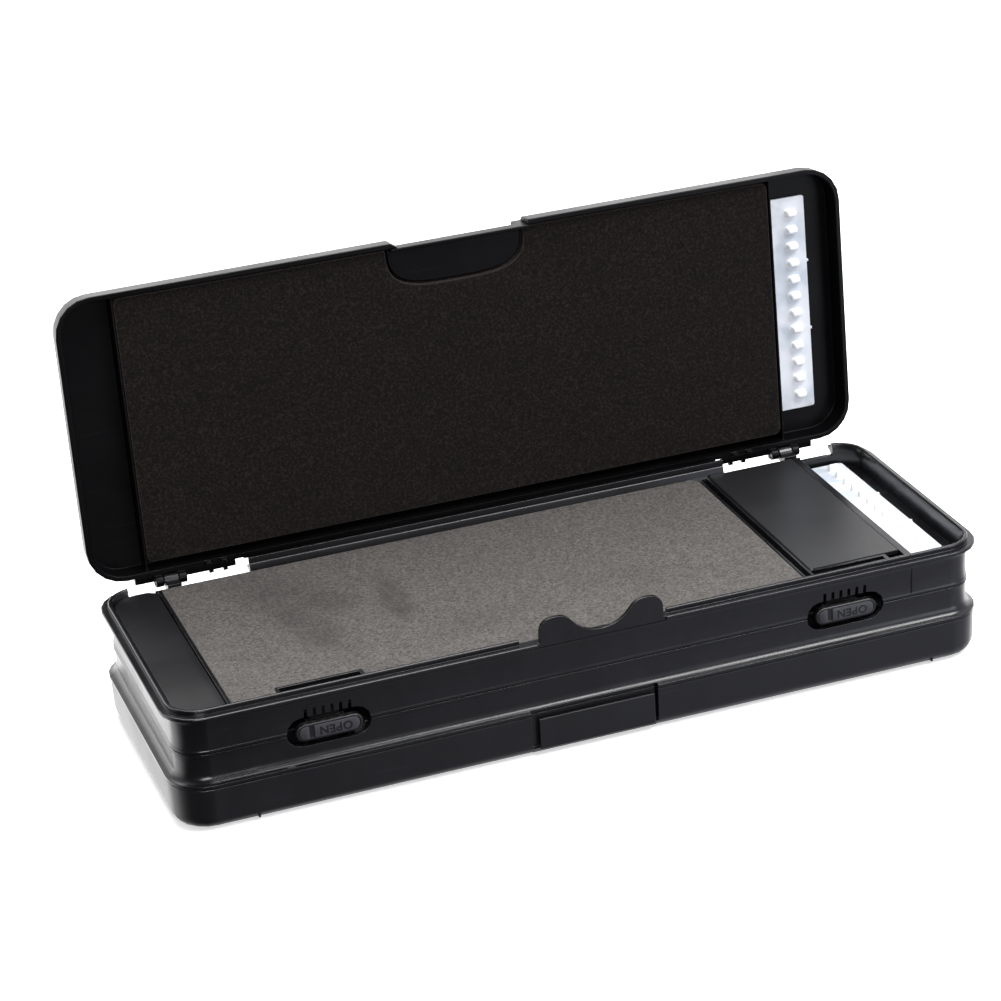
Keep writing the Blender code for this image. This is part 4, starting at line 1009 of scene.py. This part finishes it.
# %% The strip's outline and profile
STRIP_WIDTH = 17.0 * MM
STRIP_LENGTH = 97.0 * MM
STRIP_THICKNESS = 1.6 * MM
STRIP_CORNER = 1.2 * MM
STRIP_EDGE = 0.3 * MM
STRIP_STEPS = 4
NUB_SHARES = (0.3, 0.62)
NUB_LENGTH = 1.2 * MM
NUB_CORNER = 0.35 * MM
# Halfway round a quarter circle, a point is 0.3 of the radius in from both of its sides.
MID_ARC = 0.3


def strip_outline(low, high):
    """A long rectangle with two nubs on its right side, which reach the node's box."""
    left, front = low[:2]
    right, rear = left + STRIP_WIDTH, high[1]
    corners = [(left, front), (right, front)]
    radii = [STRIP_CORNER, STRIP_CORNER]
    for share in NUB_SHARES:
        start = front + STRIP_LENGTH * share
        end = start + NUB_LENGTH
        corners += [(right, start), (high[0], start), (high[0], end), (right, end)]
        radii += [NUB_CORNER] * 4
    corners += [(right, rear), (left, rear)]
    return rounded(corners, radii + [STRIP_CORNER] * 2, STRIP_STEPS)


def strip_profile(base, top, upwards):
    """A small chamfer at the back, a straight side, and a rounded edge to the face."""
    return [
        (STRIP_EDGE / 2, base),
        (0.0, base + upwards * STRIP_EDGE / 2),
        (0.0, top - upwards * STRIP_EDGE),
        (STRIP_EDGE * MID_ARC, top - upwards * STRIP_EDGE * MID_ARC),
        (STRIP_EDGE, top),
    ]


print("a strip is", round(STRIP_LENGTH / MM), "mm long")

# %% The pegs
PEG_COUNT = 12
PEG_PITCH = 7.56 * MM
PEG_ACROSS = 10.0 * MM
PEG_LENGTH = 5.0 * MM
PEG_WIDTH = 3.0 * MM
PEG_POINTS = 20
PEG_SQUARENESS = 4.5
# How far a ring of the peg stands out past the peg's own outline, and how high, in mm.
PEG_ROOT = 0.4
PEG_LEVELS = ((0.12, 0.12), (0.0, 0.4), (-0.1, 2.2), (-0.35, 2.8), (-0.7, 3.1), (-1.1, 3.2))


def peg_ring(grow):
    """A superellipse round zero: each half axis grows by the same amount."""
    angle = np.linspace(0, 2 * math.pi, PEG_POINTS, endpoint=False)
    power = 2 / PEG_SQUARENESS
    across = (PEG_LENGTH / 2 + grow) * np.sign(np.cos(angle)) * abs(np.cos(angle)) ** power
    along = (PEG_WIDTH / 2 + grow) * np.sign(np.sin(angle)) * abs(np.sin(angle)) ** power
    return np.stack([across, along], 1)


def peg_points(centres, top, upwards):
    """The rings of every peg, one for each level, round its own centre."""
    flat = np.stack([peg_ring(grow * MM) for grow, _ in PEG_LEVELS])
    flat = flat[None] + centres[:, None, None]
    rise = np.array([height * MM for _, height in PEG_LEVELS])[None, :, None, None]
    rise = np.broadcast_to(top + upwards * rise, (*flat.shape[:3], 1))
    return np.concatenate([flat, rise], 3).reshape(-1, 3)


def peg_faces(hole_start, peg_start):
    """Quads from the ring of each hole up its peg, and one face on each tip."""
    ring = np.arange(PEG_POINTS)
    ahead = np.roll(ring, -1)
    hole, peg = hole_start[:, None], peg_start[:, None]
    foot = np.stack([hole + ring, hole + ahead, peg + ahead, peg + ring], 2).reshape(-1, 4)
    rings = len(PEG_LEVELS)
    shaft = np.concatenate([bands(rings, PEG_POINTS, begin) for begin in peg_start])
    tip = peg + (rings - 1) * PEG_POINTS + ring
    return [*foot.tolist(), *shaft.tolist(), *tip.tolist()]


print("pegs on a strip:", PEG_COUNT)

# %% Mould the strips
def mould_strip(node_name, place):
    """A strip with its face filled round the roots of twelve pegs, which rise from there."""
    low, high = half_box(node_name, place)
    left, front = low[:2]
    upwards = 1 if place.endswith("tray") else -1
    base = low[2] if upwards > 0 else high[2]
    top = base + upwards * STRIP_THICKNESS
    outline = strip_outline(low, high)
    profile = strip_profile(base, top, upwards)
    middle = front + STRIP_LENGTH / 2
    rank = np.arange(PEG_COUNT) - (PEG_COUNT - 1) / 2
    centres = np.stack([np.full(PEG_COUNT, left + PEG_ACROSS), middle + rank * PEG_PITCH], 1)
    root = peg_ring(PEG_ROOT * MM)
    holes = [root + centre for centre in centres]
    points, faces = closed_sheet(outline, profile, FLAT_SPACING, holes=holes)
    number = np.arange(PEG_COUNT) * PEG_POINTS
    hole_start = len(outline) * len(profile) + number
    pegs = peg_faces(hole_start, len(points) + number * len(PEG_LEVELS))
    if upwards < 0:
        pegs = [face[::-1] for face in pegs]
    points = np.concatenate([points, peg_points(centres, top, upwards)])
    strip = sum(faces, [])
    return add_piece(
        node_name + "_moulded",
        moved(points, PLACES[place]),
        strip + pegs,
        (strip_plastic, peg_plastic),
        [0] * len(strip) + [1] * len(pegs),
        body_of[node_name],
        node_name,
    )


for place in PLACES:
    piece = mould_strip(place + "_peg_rack", place)
    print(piece.name, "has", len(piece.data.polygons), "faces")

# %% [markdown]
# The press pads
#
# A pad is pressed with a fingertip, so its face has a ridge at one end and, past a groove, a
# plate with a generic word that says what it does. The upper half's side is turned to us,
# and the word was meant for whoever has the lower lid up: here it stands on its head.

# %% The plate and the ridge of a pad
PAD_FACE = -59.7 * MM
PAD_DISH = 0.3 * MM
PLATE_PROUD = 0.15 * MM
PLATE_HALF_HEIGHT = 2.75 * MM
PLATE_EDGE = 0.2 * MM
PLATE_SPAN = (-6.3 * MM, 12.3 * MM)
RIDGE_SPAN = (-12.3 * MM, -8.3 * MM)
ROUND_END = PLATE_HALF_HEIGHT - PLATE_EDGE
FLAT_END = 2 * PLATE_EDGE
seam = joints["seam_hinge"]["pos_m"][2]


def pad_plate(name, centre, span, ends, body):
    """A raised plate, with the corner radii of its left and right end.

    It is cut lying down, and its height z then becomes -y, towards the front.
    """
    (left, right), half = span, PLATE_HALF_HEIGHT
    corners = [(left, -half), (right, -half), (right, half), (left, half)]
    outline = rounded(corners, (ends[0], ends[1], ends[1], ends[0]))
    top = PAD_DISH + PLATE_PROUD
    arc = (PLATE_EDGE * MID_ARC, top - PLATE_EDGE * MID_ARC)
    profile = [(0.0, 0.0), (0.0, top - PLATE_EDGE), arc, (PLATE_EDGE, top)]
    points, faces = closed_sheet(outline, profile, FLAT_SPACING)
    placed = points[:, (0, 2, 1)] * (1, -1, 1) + (centre, PAD_FACE + PAD_DISH, seam)
    faces = sum(faces, [])
    finish = (plastics["rubbed_pad_grey"],)
    return add_piece(name, placed, faces, finish, [0] * len(faces), body)


print("a plate stands", round(PLATE_PROUD / MM, 2), "mm proud of its pad")

# %% The word
LETTER_HEIGHT = 3.6 * MM
LETTER_DEPTH = 0.12 * MM
LETTER_BOLD = 0.11 * MM
LETTER_SPACING = 1.08
# A capital letter of Blender's own font is about 0.72 of the text's size.
CAPITAL_SHARE = 0.72
WORD_PLACE = 2.6 * MM
UPSIDE_DOWN = Matrix(((-1, 0, 0), (0, 0, -1), (0, -1, 0)))


def pad_word(name, centre, body):
    """The word as a text curve, made a mesh and only then turned and placed."""
    curve = bpy.data.curves.new(name, "FONT")
    curve.body = "OPEN"
    curve.align_x = "CENTER"
    curve.align_y = "CENTER"
    curve.size = LETTER_HEIGHT / CAPITAL_SHARE
    curve.space_character = LETTER_SPACING
    curve.extrude = LETTER_DEPTH
    curve.offset = LETTER_BOLD
    curve.resolution_u = 3
    text = bpy.data.objects.new(name + "_text", curve)
    bpy.context.scene.collection.objects.link(text)
    bpy.context.view_layer.update()
    mesh = bpy.data.meshes.new_from_object(text)
    bpy.data.objects.remove(text)
    bpy.data.curves.remove(curve)
    mesh.name = name
    spot = Matrix.Translation((centre + WORD_PLACE, PAD_FACE - PLATE_PROUD, seam))
    mesh.transform(spot @ UPSIDE_DOWN.to_4x4())
    mesh.materials.clear()
    mesh.materials.append(plastics["moulded_button_black"])
    word = bpy.data.objects.new(name, mesh)
    bpy.context.scene.collection.objects.link(word)
    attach(word, body)
    return word


for side in ("left", "right"):
    button = "open_button_" + side
    body = body_of[button]
    pad_low, pad_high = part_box(button)
    centre = (pad_low[0] + pad_high[0]) / 2
    pad_plate("press_plate_" + side, centre, PLATE_SPAN, (FLAT_END, ROUND_END), body)
    pad_plate("press_ridge_" + side, centre, RIDGE_SPAN, (ROUND_END, FLAT_END), body)
    word = pad_word("press_word_" + side, centre, body)
    print(word.name, "has", len(word.data.polygons), "faces")

# %% [markdown]
# Rear rails and ribs
#
# Behind the foam the tray's rim rises between the two hinge windows and closes the gap to
# the open lid, whose own wall has a bead there and a thicker rib with two teeth over each
# hinge. Every one of them is a bar, so a rounded section is carried along the long side.

# %% Rails behind the foam, beads and ribs on the lids
# Sections are (y, z) corners in mm, in the half's own frame.
WINDOW_END = 108.5 * MM
RISE_SECTION = ((57.9, 1.6), (59.1, 1.6), (59.1, 4.75), (57.95, 4.75))
BEAD_SECTION = ((61.0, 1.0), (62.5, 1.0), (62.5, 3.0), (61.0, 3.0))
RIB_SECTION = ((61.0, 2.2), (65.1, 2.2), (65.1, 4.6), (61.0, 4.6))
TOOTH_SECTION = ((64.0, 2.4), (66.4, 2.4), (66.4, 4.2), (64.0, 4.2))
RIB_SPAN = (112.0 * MM, 155.5 * MM)
TEETH = (116.4 * MM, 122.6 * MM)
TOOTH_HALF_WIDTH = 0.9 * MM
RAIL_EDGE = 0.15 * MM


def bar(name, span, section, place, body, slot, finish):
    """The section with rounded corners, drawn out along x from end to end of the span."""
    outline = rounded(np.array(section) * MM, RAIL_EDGE, STRIP_STEPS)
    count = len(outline)
    x = np.repeat(sorted(span), count)[:, None]
    points = moved(np.concatenate([x, np.tile(outline, (2, 1))], 1), PLACES[place])
    ring = np.arange(count)
    faces = [*bands(2, count).tolist(), ring[::-1].tolist(), (ring + count).tolist()]
    return add_piece(name, points, faces, (finish,), [0] * len(faces), body)


# The upper lid's bead, ribs and teeth take its darker plastic: painted shade.
for half, lid_black in (("upper", "moulded_lid_black_painted_shade"), ("lower", "moulded_base_black")):
    tray, lid = half + "_tray", half + "_lid"
    on_tray = (body_of[tray], slot_of[tray], plastics["moulded_tray_black"])
    on_lid = (body_of[lid], slot_of[lid], plastics[lid_black])
    between = (-WINDOW_END, WINDOW_END)
    bar(half + "_rear_rise", between, RISE_SECTION, tray, *on_tray)
    bar(half + "_lid_bead", between, BEAD_SECTION, lid, *on_lid)
    for side, hand in (("left", -1), ("right", 1)):
        ends = [hand * reach for reach in RIB_SPAN]
        bar(f"{half}_hinge_rib_{side}", ends, RIB_SECTION, lid, *on_lid)
        for rank, tooth in enumerate(TEETH):
            ends = (hand * tooth - TOOTH_HALF_WIDTH, hand * tooth + TOOTH_HALF_WIDTH)
            bar(f"{half}_rib_tooth_{side}_{rank}", ends, TOOTH_SECTION, lid, *on_lid)
    print(half, "half has its rise, bead, two ribs and four teeth")

# %% [markdown]
# The floor
#
# The box stands on a pale floor that runs on behind it, like a roll of white paper. It is
# kept out of the box's reflections and sends no light back to it, so the studio round the
# box decides what black plastic shows. It glows a little, to be as white as the backdrop.

# %% Floor
FLOOR_SIZE = 30.0
FLOOR_GLOW = 0.35

floor_mesh = bpy.data.meshes.new("studio_floor")
half_floor = FLOOR_SIZE / 2
corners = np.array([(-1, -1, 0), (1, -1, 0), (1, 1, 0), (-1, 1, 0)]) * half_floor
floor_mesh.from_pydata(corners.tolist(), [], [(0, 1, 2, 3)])
floor = bpy.data.objects.new("studio_floor", floor_mesh)
bpy.context.scene.collection.objects.link(floor)
floor.visible_glossy = False
floor.visible_diffuse = False
floor_paper, tree = empty_material("white_paper_sweep")
shader = node(
    tree,
    "ShaderNodeBsdfPrincipled",
    {
        "Base Color": linear("#F4F4F4"),
        "Roughness": 0.9,
        "Emission Color": linear("#FFFFFF"),
        "Emission Strength": FLOOR_GLOW,
    },
)
node(tree, "ShaderNodeOutputMaterial", {"Surface": shader.outputs["BSDF"]})
floor_mesh.materials.append(floor_paper)
print("floor:", FLOOR_SIZE, "m square")

# %% [markdown]
# The room
#
# Black plastic shows little but reflections. Behind the box the backdrop is white from well
# below the horizon to 18 degrees above it, and greyer higher up, which gives the ledges
# their sheen. The room in front is dim, and darkest at the left, so the front walls stay
# black. The camera itself sees plain white.

# %% World: a bright backdrop behind, a dim room in front
AIR_LIGHT = 2.5
BEHIND = (-0.1, 0.45)
LOWEST = -0.7
HIGHEST = 0.9
# Greys of the backdrop, by the height of the line of sight: its z from -1 to 1.
SWEEP = (
    (-0.7, "#959597"),
    (-0.45, "#FFFFFF"),
    (0.3, "#FFFFFF"),
    (0.42, "#A6A6A8"),
    (0.64, "#A8A8AA"),
    (0.9, "#BCBCBE"),
)
# Greys of the room in front, from left to right: the x of the line of sight.
ROOM = ((0.15, "#2C2C2F"), (0.3, "#6D6D72"), (0.45, "#8B8C93"))

world = bpy.data.worlds.new("studio_air")
bpy.context.scene.world = world
world.use_nodes = True
tree = world.node_tree
tree.nodes.clear()
sky = node(tree, "ShaderNodeTexCoord").outputs["Generated"]
split = node(tree, "ShaderNodeSeparateXYZ", {"Vector": sky}).outputs
behind = node(
    tree,
    "ShaderNodeMapRange",
    {"Value": split["Y"], "From Min": BEHIND[0], "From Max": BEHIND[1]},
).outputs["Result"]
rise = node(
    tree,
    "ShaderNodeMapRange",
    {"Value": split["Z"], "From Min": LOWEST, "From Max": HIGHEST},
).outputs["Result"]
stops = [((z - LOWEST) / (HIGHEST - LOWEST), grey) for z, grey in SWEEP]
backdrop = node(tree, "ShaderNodeValToRGB", {"Fac": rise}, stops=stops).outputs["Color"]
room = node(tree, "ShaderNodeValToRGB", {"Fac": split["X"]}, stops=ROOM).outputs["Color"]
air = node(
    tree, "ShaderNodeMix", {"Factor": behind, "A": room, "B": backdrop}, data_type="RGBA"
).outputs["Result"]
seen = node(tree, "ShaderNodeLightPath").outputs["Is Camera Ray"]
shown = node(
    tree, "ShaderNodeMix", {"Factor": seen, "A": air, "B": linear("#FFFFFF")}, data_type="RGBA"
).outputs["Result"]
background = node(tree, "ShaderNodeBackground", {"Color": shown, "Strength": AIR_LIGHT})
node(tree, "ShaderNodeOutputWorld", {"Surface": background.outputs["Background"]})
print("world:", world.name)

# %% [markdown]
# The lights
#
# All of them are large, soft panels. One overhead and one high behind draw the rims and
# ledges. A strip above the front, at the right, lays the bright line along the shoulder. A
# low panel at the right gives the front its bluish end, and a fill in front keeps the walls
# from going black.

# %% Lights
BOX_MIDDLE = Vector((0.0, 0.0, 0.05))
# For each: its place and its two sides in metres, its power in watts and its colour.
LIGHTS = {
    "overhead": ((0.1, 0.15, 1.5), (1.0, 0.7), 19.0, "#FFFFFF"),
    "shoulder_strip": ((0.72, -0.62, 1.35), (1.0, 0.3), 18.0, "#FFFFFF"),
    "high_behind": ((0.0, 0.9, 1.35), (1.0, 0.6), 15.0, "#FFFFFF"),
    "right_front": ((0.75, -0.9, 0.12), (0.5, 0.6), 2.4, "#EEF2FF"),
    "front_fill": ((-0.4, -1.7, 0.8), (0.9, 0.7), 20.0, "#FFFFFF"),
}


def softbox(name, place, size, power, tint):
    """A rectangular area light at place, facing the middle of the box."""
    data = bpy.data.lights.new(name, "AREA")
    data.shape = "RECTANGLE"
    data.size, data.size_y = size
    data.energy = power
    data.color = linear(tint)[:3]
    light = bpy.data.objects.new(name, data)
    light.location = place
    light.rotation_mode = "QUATERNION"
    light.rotation_quaternion = (BOX_MIDDLE - Vector(place)).to_track_quat("-Z", "Y")
    bpy.context.scene.collection.objects.link(light)


for name, values in LIGHTS.items():
    softbox(name, *values)
bpy.context.scene.view_settings.view_transform = "Standard"
